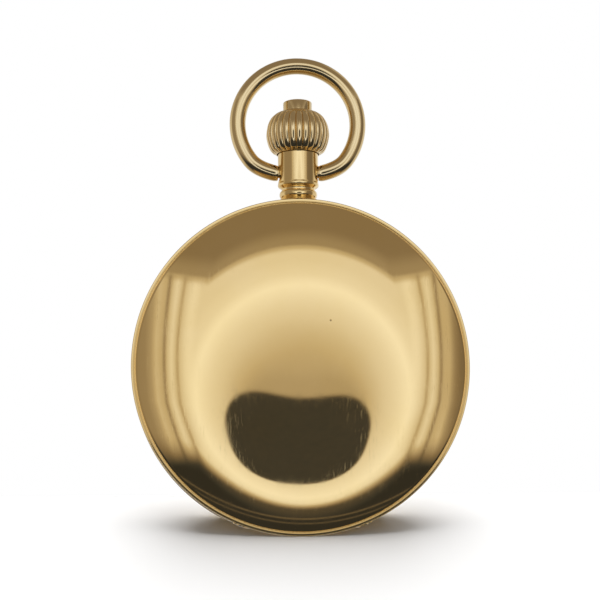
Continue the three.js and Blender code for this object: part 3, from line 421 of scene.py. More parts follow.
def rounded(points, radius, steps=4):
    """A closed outline with its corners rounded; a corner on the axis, or marked with radius 0, stays."""
    out = []
    count = len(points)
    for i, corner in enumerate(points):
        here = Vector(corner[:2])
        before = Vector(points[i - 1][:2])
        after = Vector(points[(i + 1) % count][:2])
        size = corner[2] if len(corner) > 2 else radius
        reach = min(size, (before - here).length * 0.45, (after - here).length * 0.45)
        if reach < 1e-4 or here.x < 1e-6:
            out.append(here)
            continue
        start = here + (before - here).normalized() * reach
        end = here + (after - here).normalized() * reach
        for k in range(steps + 1):
            t = k / steps
            out.append(start * (1 - t) ** 2 + here * 2 * t * (1 - t) + end * t * t)
    return out


def turned(outline, sides, centre=(0.0, 0.0), along="Y"):
    """Vertices and faces of a closed outline of (radius, distance along) points turned about an axis."""
    verts, rows = [], []
    for r, a in outline:
        if r < 1e-6:
            rows.append([len(verts)] * sides)
            verts.append(at_axis(centre, 0.0, 0.0, a, along))
            continue
        rows.append(list(range(len(verts), len(verts) + sides)))
        for s in range(sides):
            angle = 2 * math.pi * s / sides
            verts.append(at_axis(centre, r * math.cos(angle), r * math.sin(angle), a, along))
    faces = []
    for upper, lower in zip(rows, rows[1:] + rows[:1]):
        for s in range(sides):
            n = (s + 1) % sides
            ring = dict.fromkeys((upper[s], upper[n], lower[n], lower[s]))
            if len(ring) > 2:
                faces.append(tuple(ring))
    return verts, faces


def at_axis(centre, u, v, along_by, along):
    """A point at u, v off an axis through a centre: (x, z) for the Y axis, or (x, y) for the Z axis."""
    if along == "Y":
        return (centre[0] + u, along_by, centre[1] + v)
    return (centre[0] + u, centre[1] + v, along_by)


def make_object(name, verts, faces, sharp=35.0):
    """A mesh object from vertices in millimetres, its faces pointing out and its shading smooth."""
    mesh = bpy.data.meshes.new(name)
    mesh.from_pydata([Vector(v) * MM for v in verts], [], faces)
    obj = bpy.data.objects.new(name, mesh)
    bpy.context.scene.collection.objects.link(obj)
    tidy_mesh(obj, sharp)
    return obj


def tidy_mesh(obj, sharp=35.0):
    """Merges doubles, points the faces out, and keeps only the sharper edges sharp."""
    work = bmesh.new()
    work.from_mesh(obj.data)
    bmesh.ops.remove_doubles(work, verts=work.verts, dist=1e-8)
    bmesh.ops.recalc_face_normals(work, faces=work.faces)
    work.to_mesh(obj.data)
    work.free()
    obj.data.shade_smooth()
    obj.data.set_sharp_from_angle(angle=math.radians(sharp))


def settle(obj):
    """Turns an object's modifiers into plain mesh."""
    graph = bpy.context.evaluated_depsgraph_get()
    mesh = bpy.data.meshes.new_from_object(obj.evaluated_get(graph))
    obj.modifiers.clear()
    obj.data = mesh


def combine(obj, others, operation):
    """Joins or cuts closed meshes and removes the other objects."""
    for other in others:
        modifier = obj.modifiers.new(operation, "BOOLEAN")
        modifier.operation = operation
        modifier.solver = "EXACT"
        modifier.object = other
    settle(obj)
    for other in others:
        bpy.data.objects.remove(other, do_unlink=True)
    tidy_mesh(obj)
    return obj


def block(x0, x1, y0, y1, z0, z1):
    """A plain box, only ever used to join to or cut a piece."""
    verts = [(x, y, z) for x in (x0, x1) for y in (y0, y1) for z in (z0, z1)]
    faces = [(0, 1, 3, 2), (4, 6, 7, 5), (0, 4, 5, 1), (2, 3, 7, 6), (0, 2, 6, 4), (1, 5, 7, 3)]
    return make_object("block", verts, faces)


def rod(r, start, end, sides=48, soften=0.0):
    """A round bar between two points, with its end edges softened."""
    start, end = Vector(start), Vector(end)
    length = (end - start).length
    outline = rounded([(0, 0), (r, 0), (r, length), (0, length)], soften)
    verts, faces = turned([tuple(p) for p in outline], sides, (0.0, 0.0), "Z")
    turn = (end - start).to_track_quat("Z", "Y").to_matrix()
    return make_object("rod", [turn @ Vector(v) + start for v in verts], faces)


def place_piece(obj, material, body, replaced=()):
    """Gives a finished piece its material and its place in the watch."""
    obj.data.materials.clear()
    obj.data.materials.append(material)
    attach(obj, body)
    if replaced:
        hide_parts(*replaced)
    return obj


def lathe_piece(name, outline, material, body, replaced=(), sides=ROUND, along="Y", centre=None):
    """A turned piece, ready in its place."""
    centre = centre or ((0.0, MIDDLE) if along == "Y" else (0.0, 0.0))
    obj = make_object(name, *turned([tuple(p) for p in outline], sides, centre, along))
    return place_piece(obj, material, body, replaced)


# ---------------------------------------------------------------- case


def dome(start_r, start_y, edge_r, edge_y, steps, power=DOME["power"]):
    """A dome's outline from near the axis to its edge, as (radius, y) points."""
    points = []
    for i in range(steps + 1):
        share = i / steps
        points.append((start_r + (edge_r - start_r) * share, start_y + (edge_y - start_y) * share**power))
    return points


def knuckle_set(spans, web_y, web_z):
    """Hinge knuckles with webs, one for each (x0, x1) span, filed to the round of the case."""
    pieces = []
    for x0, x1 in spans:
        barrel = rod(KNUCKLE_R, (x0, HINGE.y, HINGE.z), (x1, HINGE.y, HINGE.z), 40, 0.05)
        web = block(x0, x1, min(web_y, HINGE.y), max(web_y, HINGE.y), HINGE.z - 0.1, web_z)
        pieces.append(combine(barrel, [web], "UNION"))
    proud = CASE_R + HINGE_PROUD
    keep = make_object(
        "filing", *turned([(0, -8), (proud, -8), (proud, 8), (0, 8)], ROUND, (0.0, MIDDLE))
    )
    whole = combine(pieces[0], pieces[1:], "UNION") if len(pieces) > 1 else pieces[0]
    return combine(whole, [keep], "INTERSECT")


def both_sides(inner, outer):
    return [(inner, outer), (-outer, -inner)]


def pin_hole():
    return rod(0.3, (-12.0, HINGE.y, HINGE.z), (12.0, HINGE.y, HINGE.z), 24)


def back_cover():
    dome_r = CASE_R - RIM["width"]
    skirt = -RIM["seat"] + RIM["skirt"]
    inner_wall = CASE_R - RIM["skirt_wall"]
    outside = dome(0.0, -APEX, dome_r, -RIM["face"] - 0.02, 90)
    inside = dome(0.0, -APEX + DOME["wall"], dome_r - 1.2, -RIM["seat"], 40)[::-1]
    lip = rounded(
        [
            (dome_r, -RIM["face"] - 0.02, 0), (dome_r + 0.09, -RIM["face"] + 0.1, 0.03),
            (dome_r + 0.17, -RIM["face"] + 0.1, 0.03), (dome_r + 0.24, -RIM["face"], 0.04),
            (CASE_R - 0.02, -RIM["face"], 0.12), (CASE_R, skirt, 0.08), (inner_wall, skirt, 0.05),
            (inner_wall, -RIM["seat"], 0.05), (dome_r - 1.2, -RIM["seat"], 0),
        ],
        0.05,
    )
    outline = outside + [tuple(p) for p in lip[1:-1]] + inside
    cover = make_object("back_cover_shell", *turned(outline, ROUND * 2, (0.0, MIDDLE)))
    gap = block(-HINGE_HALF - 0.25, HINGE_HALF + 0.25, -RIM["seat"], 0, -1, HINGE.z + 1.2)
    notch = block(-2.45, 2.45, -RIM["seat"], 0, MIDDLE + CASE_R - 2, MIDDLE + CASE_R + 1)
    combine(cover, [gap, notch], "DIFFERENCE")
    leaves = knuckle_set(both_sides(4.5, 8.8), -RIM["seat"] - 0.2, HINGE.z + 0.5)
    combine(cover, [leaves], "UNION")
    combine(cover, [pin_hole()], "DIFFERENCE")
    cover.name = "back_cover_shell"
    return place_piece(cover, COVER_GOLD, "back_cover", ["back_cover"])


def dust_cover():
    land = CUVETTE_R - 1.0
    rim_y, wall = 2.85, 0.35
    outside = dome(0.0, -CUVETTE_APEX, land - 0.5, -rim_y - 0.55, 50, 2.5)
    inside = dome(0.0, -CUVETTE_APEX + wall, land - 0.85, -rim_y - 0.55 + wall, 40, 2.5)[::-1]
    edge = rounded(
        [
            (land - 0.5, -rim_y - 0.55, 0.1), (land, -rim_y, 0.1), (CUVETTE_R, -rim_y, 0.05),
            (CUVETTE_R, -rim_y + wall, 0.05), (land - 0.2, -rim_y + wall, 0.1),
            (land - 0.85, -rim_y - 0.55 + wall, 0.1),
        ],
        0.05,
    )
    outline = outside[:-1] + [tuple(p) for p in edge[5:-5]] + inside[1:]
    cover = make_object("cuvette_shell", *turned(outline, ROUND, (0.0, MIDDLE)))
    leaves = knuckle_set(both_sides(1.8, 4.4), -rim_y, HINGE.z + 0.85)
    tabs = [
        block(x0, x1, -rim_y, -rim_y + wall, HINGE.z, MIDDLE - CUVETTE_R + 1.0)
        for x0, x1 in both_sides(1.8, 4.4)
    ]
    combine(cover, [leaves, *tabs], "UNION")
    combine(cover, [pin_hole()], "DIFFERENCE")
    return place_piece(cover, CASE_GOLD, "cuvette", ["cuvette"])


def case_band():
    inner, ledge = 21.5, 1.35
    outline = rounded(
        [
            (inner, -2.4), (22.4, -2.4), (22.4, -BAND_HALF), (BAND_R, -BAND_HALF, 0.2),
            (BAND_R, BAND_HALF, 0.2), (inner + 0.5, BAND_HALF), (inner + 0.5, ledge), (inner, ledge),
        ],
        0.06,
    )
    ring = make_object("case_band_ring", *turned([tuple(p) for p in outline], ROUND, (0.0, MIDDLE)))
    room = block(-HINGE_HALF - 0.25, HINGE_HALF + 0.25, -4, HINGE.y + 2.5, -2, HINGE.z + 1.15)
    stem_hole = rod(1.71, (0, 0, MIDDLE + inner - 1), (0, 0, MIDDLE + CASE_R))
    combine(ring, [room, stem_hole], "DIFFERENCE")
    ends = knuckle_set(both_sides(8.9, HINGE_HALF), HINGE.y + 0.6, MIDDLE - inner + 0.2)
    middle = knuckle_set([(-1.7, 1.7)], HINGE.y + 2.7, HINGE.z + 0.45)
    combine(ring, [ends, middle], "UNION")
    combine(ring, [pin_hole()], "DIFFERENCE")
    return place_piece(ring, CASE_GOLD, "root", ["case_band"])


def front_bezel():
    skirt = RIM["seat"] - RIM["skirt"]
    inner_wall = CASE_R - RIM["skirt_wall"]
    outline = rounded(
        [
            (20.9, RIM["seat"]), (inner_wall, RIM["seat"]), (inner_wall, skirt), (CASE_R, skirt, 0.08),
            (CASE_R, RIM["face"], 0.2), (CASE_R - RIM["width"], RIM["face"], 0.05),
            (CASE_R - 0.85, RIM["face"] + 0.12, 0.05), (CASE_R - 1.5, RIM["face"] + 1.2, 0.8),
            (CASE_R - 2.5, BEZEL_TOP, 0.35), (22.0, BEZEL_TOP - 0.15, 0.15), (21.8, 3.95), (20.9, 3.95),
        ],
        0.05,
    )
    bezel = make_object("bezel_ring", *turned([tuple(p) for p in outline], ROUND, (0.0, MIDDLE)))
    notch = block(-2.45, 2.45, 0, RIM["seat"], MIDDLE + CASE_R - 2, MIDDLE + CASE_R + 1)
    combine(bezel, [notch], "DIFFERENCE")
    return place_piece(bezel, CASE_GOLD, "root", ["bezel"])


def hinge_pin():
    half = span("back_hinge_pin", 0)[1]
    pin = rod(0.25, (-half, HINGE.y, HINGE.z), (half, HINGE.y, HINGE.z), 32, 0.04)
    pin.name = "hinge_pin_rod"
    return place_piece(pin, GRAINED, "root", ["back_hinge_pin"])


def crystal():
    wall = 0.9
    foot = GLASS_FOOT
    outside = [
        (r, GLASS_APEX + (foot + 1.0 - GLASS_APEX) * (r / GLASS_R) ** 2)
        for r in ramp(0, GLASS_R - 0.1, 40)
    ]
    inside = [
        (r, GLASS_APEX - wall + (foot - GLASS_APEX + wall) * (r / GLASS_R) ** 2)
        for r in ramp(0, GLASS_R - 0.6, 40)
    ]
    edge = [(GLASS_R, foot + 0.9), (GLASS_R, foot + 0.06), (GLASS_R - 0.06, foot)]
    return lathe_piece("crystal_dome", outside + edge + inside[::-1], GLASS, "root", ["crystal"],
                       sides=192)


def ramp(low, high, steps):
    """Evenly spaced values from low to high."""
    return [low + (high - low) * i / steps for i in range(steps + 1)]


# ---------------------------------------------------------------- pendant, bow and crown


def pendant():
    base = MIDDLE + CASE_R
    waist, shoulder, seat = 2.5, 3.08, PENDANT_R - 0.25
    bead = [(2.42 + 0.42 * math.cos(a), base + 1.16 + 0.6 * math.sin(a), 0) for a in ramp(-1.15, 1.3, 14)]
    outline = rounded(
        [
            (0, base - 0.75), (3.2, base - 0.75), (3.18, base + 0.12, 0.12), (2.75, base + 0.42, 0.2), *bead,
            (waist, base + 2.02, 0.12), (shoulder - 0.1, base + 2.36, 0.1),
            (shoulder, base + 2.5, 0.08), (shoulder, base + 2.74, 0.2), (PENDANT_R - 0.03, base + 3.0, 0.2),
            (PENDANT_R, PENDANT_TOP, 0.12), (2.45, PENDANT_TOP, 0.05), (2.45, PENDANT_TOP - 0.4),
            (0, PENDANT_TOP - 0.4),
        ],
        0.05,
        6,
    )
    neck = make_object("pendant_neck", *turned([tuple(p) for p in outline], 160, (0.0, 0.0), "Z"))
    saddle = make_object("saddle", *turned([(0, -6), (CASE_R + 0.06, -6), (CASE_R + 0.06, 6), (0, 6)], ROUND,
                                           (0.0, MIDDLE)))
    seats = [rod(1.31, (side * seat, 0, PIVOT.z), (side * 5, 0, PIVOT.z), 64) for side in (-1, 1)]
    bore = rod(1.75, (0, 0, base - 2), (0, 0, PENDANT_TOP + 1), 64)
    combine(neck, [saddle, bore, *seats], "DIFFERENCE")
    core = rod(2.3, (0, 0, base - 0.59), (0, 0, base + 1), 64)
    combine(core, [rod(1.75, (0, 0, base - 2), (0, 0, base + 3), 64)], "DIFFERENCE")
    combine(neck, [core], "UNION")
    holes = [rod(0.67, (side * 2.0, 0, PIVOT.z), (side * 5, 0, PIVOT.z), 32) for side in (-1, 1)]
    combine(neck, holes, "DIFFERENCE")
    neck.name = "pendant_neck"
    return place_piece(neck, CASE_GOLD, "root", ["pendant"])


def swept(path, radii, sides):
    """A round wire along a path in the x, z plane, closed at its ends, with a radius at each point."""
    verts, faces = [], []
    across = Vector((0.0, 1.0, 0.0))
    count = len(path)
    for i, (point, r) in enumerate(zip(path, radii)):
        ahead = (path[min(i + 1, count - 1)] - path[max(i - 1, 0)]).normalized()
        out = ahead.cross(across)
        for s in range(sides):
            angle = 2 * math.pi * s / sides
            verts.append(point + (out * math.cos(angle) + across * math.sin(angle)) * r)
    for i in range(count - 1):
        for s in range(sides):
            n = (s + 1) % sides
            faces.append((i * sides + s, i * sides + n, (i + 1) * sides + n, (i + 1) * sides + s))
    faces.append(tuple(range(sides)))
    faces.append(tuple(range((count - 1) * sides, count * sides)))
    return verts, faces


def bow_path():
    """The bow's middle line: most of a circle, then feet that run in to the pendant."""
    low = math.radians(-BOW["foot_angle"])
    arc = [
        Vector((BOW["r"] * math.cos(angle), 0, BOW["centre"] + BOW["r"] * math.sin(angle)))
        for angle in ramp(math.pi / 2, low, 60)
    ]
    start, end = arc[-1], Vector((BOW["end_x"], 0, PIVOT.z))
    reach = (end - start).length
    leave = start + Vector((math.sin(low), 0, -math.cos(low))) * reach * 0.3
    arrive = end + Vector((0.36, 0, 0.08)) * reach
    foot = [
        start * (1 - t) ** 3 + leave * 3 * t * (1 - t) ** 2 + arrive * 3 * t * t * (1 - t) + end * t**3
        for t in ramp(0.0, 1.0, 20)[1:]
    ]
    right = arc + foot
    left = [Vector((-p.x, 0, p.z)) for p in right[1:]]
    return left[::-1] + right


def bow():
    path = bow_path()
    radii = [BOW["wire"]] * len(path)
    for i, shrink in enumerate((0.84, 0.92, 0.97, 0.99)):
        radii[i] *= shrink
        radii[-1 - i] *= shrink
    ring = make_object("bow_ring", *swept(path, radii, 48), sharp=50.0)
    pivots = [rod(0.6, (side * 2.2, 0, PIVOT.z), (side * 3.4, 0, PIVOT.z), 32, 0.05) for side in (-1, 1)]
    combine(ring, pivots, "UNION")
    return place_piece(ring, WORN_GOLD, "bow", ["bow"])


class GeometryTree(Tree):
    """A geometry node tree with named inputs, evaluated into plain mesh."""

    def __init__(self, name, inputs):
        group = bpy.data.node_groups.new(name, "GeometryNodeTree")
        super().__init__(group)
        group.interface.new_socket("Geometry", in_out="INPUT", socket_type="NodeSocketGeometry")
        group.interface.new_socket("Geometry", in_out="OUTPUT", socket_type="NodeSocketGeometry")
        self.ids = {}
        for key, value in inputs.items():
            kind = "NodeSocketInt" if isinstance(value, int) else "NodeSocketFloat"
            if isinstance(value, bpy.types.Material):
                kind = "NodeSocketMaterial"
            if isinstance(value, bpy.types.Object):
                kind = "NodeSocketObject"
            self.ids[key] = group.interface.new_socket(key, in_out="INPUT", socket_type=kind).identifier
        self.values = inputs
        self.entry = group.nodes.new("NodeGroupInput")
        self.exit = group.nodes.new("NodeGroupOutput")

    def given(self, key):
        return Value(self, self.entry.outputs[key])

    def close(self, geometry, material):
        """Ends the tree in Realize Instances and Set Material."""
        real = self.node("GeometryNodeRealizeInstances", None, geometry)
        done = self.node("GeometryNodeSetMaterial", None, Geometry=real, Material=material)
        self.connect(done, self.exit.inputs["Geometry"])

    def ring_of(self, shape, tilt):
        """A shape repeated Count times round a circle of Radius, each one tilted and turned to face out."""
        ring = self.node("GeometryNodeMeshCircle", Vertices=self.given("Count"), Radius=self.given("Radius"))
        x, y, z = self.parts(self.node("GeometryNodeInputPosition"))
        angle = self.node("ShaderNodeMath", {"operation": "ARCTAN2"}, y, x)
        turn = self.node("ShaderNodeCombineXYZ", None, 0.0, tilt, angle)
        return self.node("GeometryNodeInstanceOnPoints", Points=ring, Instance=shape, Rotation=turn)

    def grow(self, obj):
        """Runs the tree on an object, which becomes plain mesh."""
        modifier = obj.modifiers.new(self.tree.name, "NODES")
        modifier.node_group = self.tree
        for key, value in self.values.items():
            modifier[self.ids[key]] = value
        obj.update_tag()
        settle(obj)
        return obj


def crown_flutes(ribs, depth, low, high):
    """Presses narrow grooves between the ribs of a turned blank."""
    tree = GeometryTree("crown flutes", {"Ribs": ribs, "Depth": depth, "Low": low, "High": high})
    x, y, z = tree.parts(tree.node("GeometryNodeInputPosition"))
    angle = tree.node("ShaderNodeMath", {"operation": "ARCTAN2"}, y, x)
    wave = abs((angle * tree.given("Ribs") / 2.0).sine())
    groove = 1.0 - wave**0.36
    fade = z.step(tree.given("Low"), tree.given("Low") + 0.35 * MM)
    fade = fade * (1.0 - z.step(tree.given("High") - 1.0 * MM, tree.given("High")))
    reach = (x * x + y * y).root()
    push = groove * fade * tree.given("Depth") * reach.step(2.2 * MM, 3.4 * MM) / reach
    offset = tree.node("ShaderNodeCombineXYZ", None, x * push * -1.0, y * push * -1.0, 0.0)
    moved = tree.node("GeometryNodeSetPosition", None, Geometry=tree.given("Geometry"), Offset=offset)
    tree.close(moved, WORN_GOLD)
    return tree


def smooth(points, steps):
    """A curve that passes smoothly through (radius, height) points."""
    ends = [2 * points[0] - points[1], *points, 2 * points[-1] - points[-2]]
    out = []
    for a, b, c, d in zip(ends, ends[1:], ends[2:], ends[3:]):
        for t in ramp(0.0, 1.0, steps)[:-1]:
            bend = (2 * a - 5 * b + 4 * c - d) * t * t + (3 * b - a - 3 * c + d) * t**3
            out.append((2 * b + (c - a) * t + bend) / 2)
    return out + [points[-1]]


def crown():
    low, top, r = CROWN_LOW, CROWN_TOP, CROWN_R
    well_r = BUTTON_R + 0.07
    skin = smooth(
        [
            Vector((share * r, low + height))
            for share, height in (
                (0.72, 0.1), (0.83, 0.42), (0.9, 0.95), (0.96, 1.75), (1.0, 2.8), (0.985, 3.75), (0.94, 4.65),
                (0.84, 5.55), (0.69, 6.2), (0.53, 6.54),
            )
        ],
        6,
    )
    outline = [(0, low), (skin[0].x - 0.1, low)] + [tuple(p) for p in skin] + [(well_r + 0.15, top), (0, top)]
    blank = make_object("crown_shell", *turned(outline, RIBS * 16, (0.0, 0.0), "Z"), sharp=60.0)
    crown_flutes(RIBS, 0.34 * MM, low * MM, top * MM).grow(blank)
    recess = rod(PENDANT_R + 0.15, (0, 0, low - 1), (0, 0, low + 0.75), 96)
    well = rod(well_r, (0, 0, top - 3.0), (0, 0, top + 1), 96)
    stem = rod(0.96, (0, 0, low), (0, 0, top), 48)
    combine(blank, [recess, well, stem], "DIFFERENCE")
    blank.data.set_sharp_from_angle(angle=math.radians(60))
    return place_piece(blank, WORN_GOLD, "crown", ["crown"])


def push_button():
    low = span("push_button", 2)[0] + 0.06
    seat = CROWN_LOW + 4.65
    edge = BUTTON_TOP - 0.5
    rod_r = 0.27
    cap = [
        (BUTTON_R * math.sin(a), edge + (BUTTON_TOP - edge) * math.cos(a))
        for a in ramp(0.42 * math.pi, 0, 12)
    ]
    outline = [
        (0, low), (0.2, low), (rod_r, low + 0.08), (rod_r, seat), (BUTTON_R - 0.1, seat),
        (BUTTON_R, seat + 0.1), (BUTTON_R, edge), *cap,
    ]
    return lathe_piece("push_piece", outline, WORN_GOLD, "button", ["push_button"], 96, "Z")


# ---------------------------------------------------------------- dial


def ring_marks(name, count, radius, length, width, centre):
    """Evenly spaced marks in a ring about a centre (x, z) on the dial."""
    sizes = {"Count": count, "Radius": radius * MM, "Length": length * MM}
    sizes.update({"Width": width * MM, "Height": 0.02 * MM})
    tree = GeometryTree(name, sizes)
    size = tree.node(
        "ShaderNodeCombineXYZ", None, tree.given("Length"), tree.given("Width"), tree.given("Height")
    )
    mark = tree.node("GeometryNodeMeshCube", None, Size=size)
    tree.close(tree.ring_of(mark, 0.0), BLACK)
    obj = tree.grow(make_object(name, [], []))
    place = Vector((centre[0], DIAL_TOP, centre[1] + MIDDLE)) * MM
    obj.data.transform(Matrix.Translation(place) @ Matrix.Rotation(math.pi / 2, 4, "X"))
    return place_piece(obj, BLACK, "root")


def numerals(radius, height):
    """The hours, upright, in one mesh."""
    work = bmesh.new()
    facing = Matrix(((-1, 0, 0), (0, 0, 1), (0, 1, 0))).to_4x4()
    for hour in range(1, 13):
        text = bpy.data.curves.new("numeral", "FONT")
        text.body = str(hour)
        text.size = height * MM
        text.extrude = 0.012 * MM
        text.align_x = "CENTER"
        text.align_y = "CENTER"
        obj = bpy.data.objects.new("numeral", text)
        bpy.context.scene.collection.objects.link(obj)
        mesh = bpy.data.meshes.new_from_object(obj.evaluated_get(bpy.context.evaluated_depsgraph_get()))
        angle = math.pi / 2 + hour * math.pi / 6
        place = Vector((radius * math.cos(angle), DIAL_TOP, MIDDLE + radius * math.sin(angle)))
        mesh.transform(Matrix.Translation(place * MM) @ facing)
        work.from_mesh(mesh)
        bpy.data.objects.remove(obj, do_unlink=True)
    joined = make_object("numerals", [], [])
    work.to_mesh(joined.data)
    work.free()
    return place_piece(joined, BLACK, "root")


def dial_furniture():
    """Numerals, the minute track, and the scales of the small seconds and the minute counter."""
    numerals(16.2, 4.0)
    ring_marks("minute_marks", 60, 19.7, 0.9, 0.13, (0.0, 0.0))
    ring_marks("hour_marks", 12, 19.7, 1.3, 0.42, (0.0, 0.0))
    ring_marks("track_outer", 240, 20.25, 0.08, 0.56, (0.0, 0.0))
    ring_marks("track_inner", 240, 19.15, 0.08, 0.54, (0.0, 0.0))
    for name, x, z in (("seconds", 0.0, -9.5), ("counter", 0.0, 9.0)):
        ring_marks(name + "_marks", 60, 4.15, 0.35, 0.07, (x, z))
        ring_marks(name + "_long_marks", 12, 4.05, 0.6, 0.14, (x, z))
        ring_marks(name + "_ring", 120, 4.4, 0.06, 0.26, (x, z))


# ---------------------------------------------------------------- movement


def surface(node, x, z):
    """The height, in y, of a CAD node's back face at a place measured from the case's centre."""
    obj = frame["nodes"][node]
    into = obj.matrix_world.inverted()
    start = into @ (Vector((x, -9.0, z + MIDDLE)) * MM)
    place = obj.ray_cast(start, into.to_3x3() @ Vector((0, 1, 0)))[1]
    return (obj.matrix_world @ place).y / MM


def screw(name, node, x, z, r):
    """A slotted cheese-head screw that stands on a CAD node."""
    y = surface(node, x + 0.02, z)
    at = MIDDLE + z
    head = rod(r, (x, y + 0.1, at), (x, y - 0.28, at), 48, 0.07)
    slot = block(-r - 0.1, r + 0.1, y - 0.4, y - 0.12, -0.1 * r - 0.03, 0.1 * r + 0.03)
    turn = Matrix.Rotation(2.4 * (x + z), 4, "Y")
    slot.data.transform(Matrix.Translation(Vector((x, 0, at)) * MM) @ turn)
    combine(head, [slot], "DIFFERENCE")
    head.name = name
    return place_piece(head, BLUED, "root")


def jewel(name, node, x, z, r):
    """A pierced ruby in a gilt setting, let into a bridge."""
    y = surface(node, x + r, z)
    at = (x, MIDDLE + z)
    cup = [(0.16, y - 0.005), (0.3, y - 0.03), (r, y - 0.03), (r, y + 0.08), (0.16, y + 0.08)]
    lathe_piece(name + "_stone", cup, RUBY, "root", sides=48, centre=at)
    inner, outer = r + 0.01, r + 0.3
    collar = rounded([(inner, y - 0.05), (outer, y - 0.05), (outer, y + 0.06), (inner, y + 0.06)], 0.03)
    lathe_piece(name + "_setting", collar, WHEEL_GILT, "root", sides=64, centre=at)


def balance_screws(count, reach, r, length, height):
    """Small gold timing screws around the balance's rim, made as one piece."""
    centre = joint_place("balance_swing")
    sizes = {"Count": count, "Radius": reach * MM, "Head": r * MM, "Long": length * MM}
    tree = GeometryTree("balance screws", sizes)
    head, long = tree.given("Head"), tree.given("Long")
    pin = tree.node("GeometryNodeMeshCylinder", Vertices=20, Radius=head, Depth=long, out="Mesh")
    tree.close(tree.ring_of(pin, math.pi / 2), WHEEL_GILT)
    obj = tree.grow(make_object("balance_screws", [], []))
    place = Vector((centre.x, height, centre.z)) * MM
    obj.data.transform(Matrix.Translation(place) @ Matrix.Rotation(math.pi / 2, 4, "X"))
    return place_piece(obj, WHEEL_GILT, "balance")


def movement_furniture():
    """Screws, jewels and timing screws of the movement."""
    for i, (x, z) in enumerate(((-17, -8), (-12, -13), (18, 2), (3, 19))):
        screw(f"bridge_screw_{i + 1}", "train_bridge", x, z, 0.8)
    for i, (x, z) in enumerate(((4, -19), (11, -16), (19, -4))):
        screw(f"plate_screw_{i + 1}", "main_plate", x, z, 0.75)
    screw("fourth_cock_screw", "fourth_cock", -3, -16.4, 0.75)
    screw("balance_cock_screw", "balance_cock", 12.9, -8.1, 0.8)
    jewel("third_jewel", "train_bridge", 2.112, -4.97, 0.55)
    jewel("escape_jewel", "fourth_cock", 4.806, -9.752, 0.45)
    jewel("pallet_jewel", "fourth_cock", 7.181, -8.088, 0.45)
    low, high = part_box("balance_wheel")
    balance_screws(12, (high[0] - low[0]) / 2 / MM - 0.05, 0.19, 0.3, (high[1] + low[1]) / 2 / MM)


# ---------------------------------------------------------------- carried-over nodes

CARRIED = {
    FROSTED: ["main_plate", "train_bridge", "fourth_cock", "balance_cock", "barrel_drum"],
    WHEEL_GILT: [
        "centre_wheel", "third_wheel", "fourth_wheel", "balance_wheel", "chronograph_runner",
        "recording_wheel", "chrono_drive_wheel", "coupling_wheel", "minute_wheel", "hour_wheel",
    ],
    GRAINED: [
        "pendant_sleeve", "winding_stem", "winding_arbor", "winding_pinion", "crown_wheel",
        "ratchet_wheel", "click", "barrel_arbor", "column_wheel", "operating_lever",
    ],
    BRIGHT_STEEL: [
        "centre_pinion", "third_pinion", "fourth_pinion", "escape_pinion", "escape_wheel", "pallet_fork",
        "balance_staff", "regulator", "clutch_lever", "hammer", "cannon_pinion",
    ],
    BLUED: [
        "mainspring", "hairspring", "hour_hand", "minute_hand", "chronograph_hand", "seconds_hand",
        "counter_hand",
    ],
    ENAMEL: ["dial"],
}


def dress_nodes():
    """Gives each CAD node that is still shown its finish."""
    for material, nodes in CARRIED.items():
        for name in nodes:
            obj = frame["nodes"][name]
            obj.data.materials.clear()
            obj.data.materials.append(material)


# ---------------------------------------------------------------- surroundings


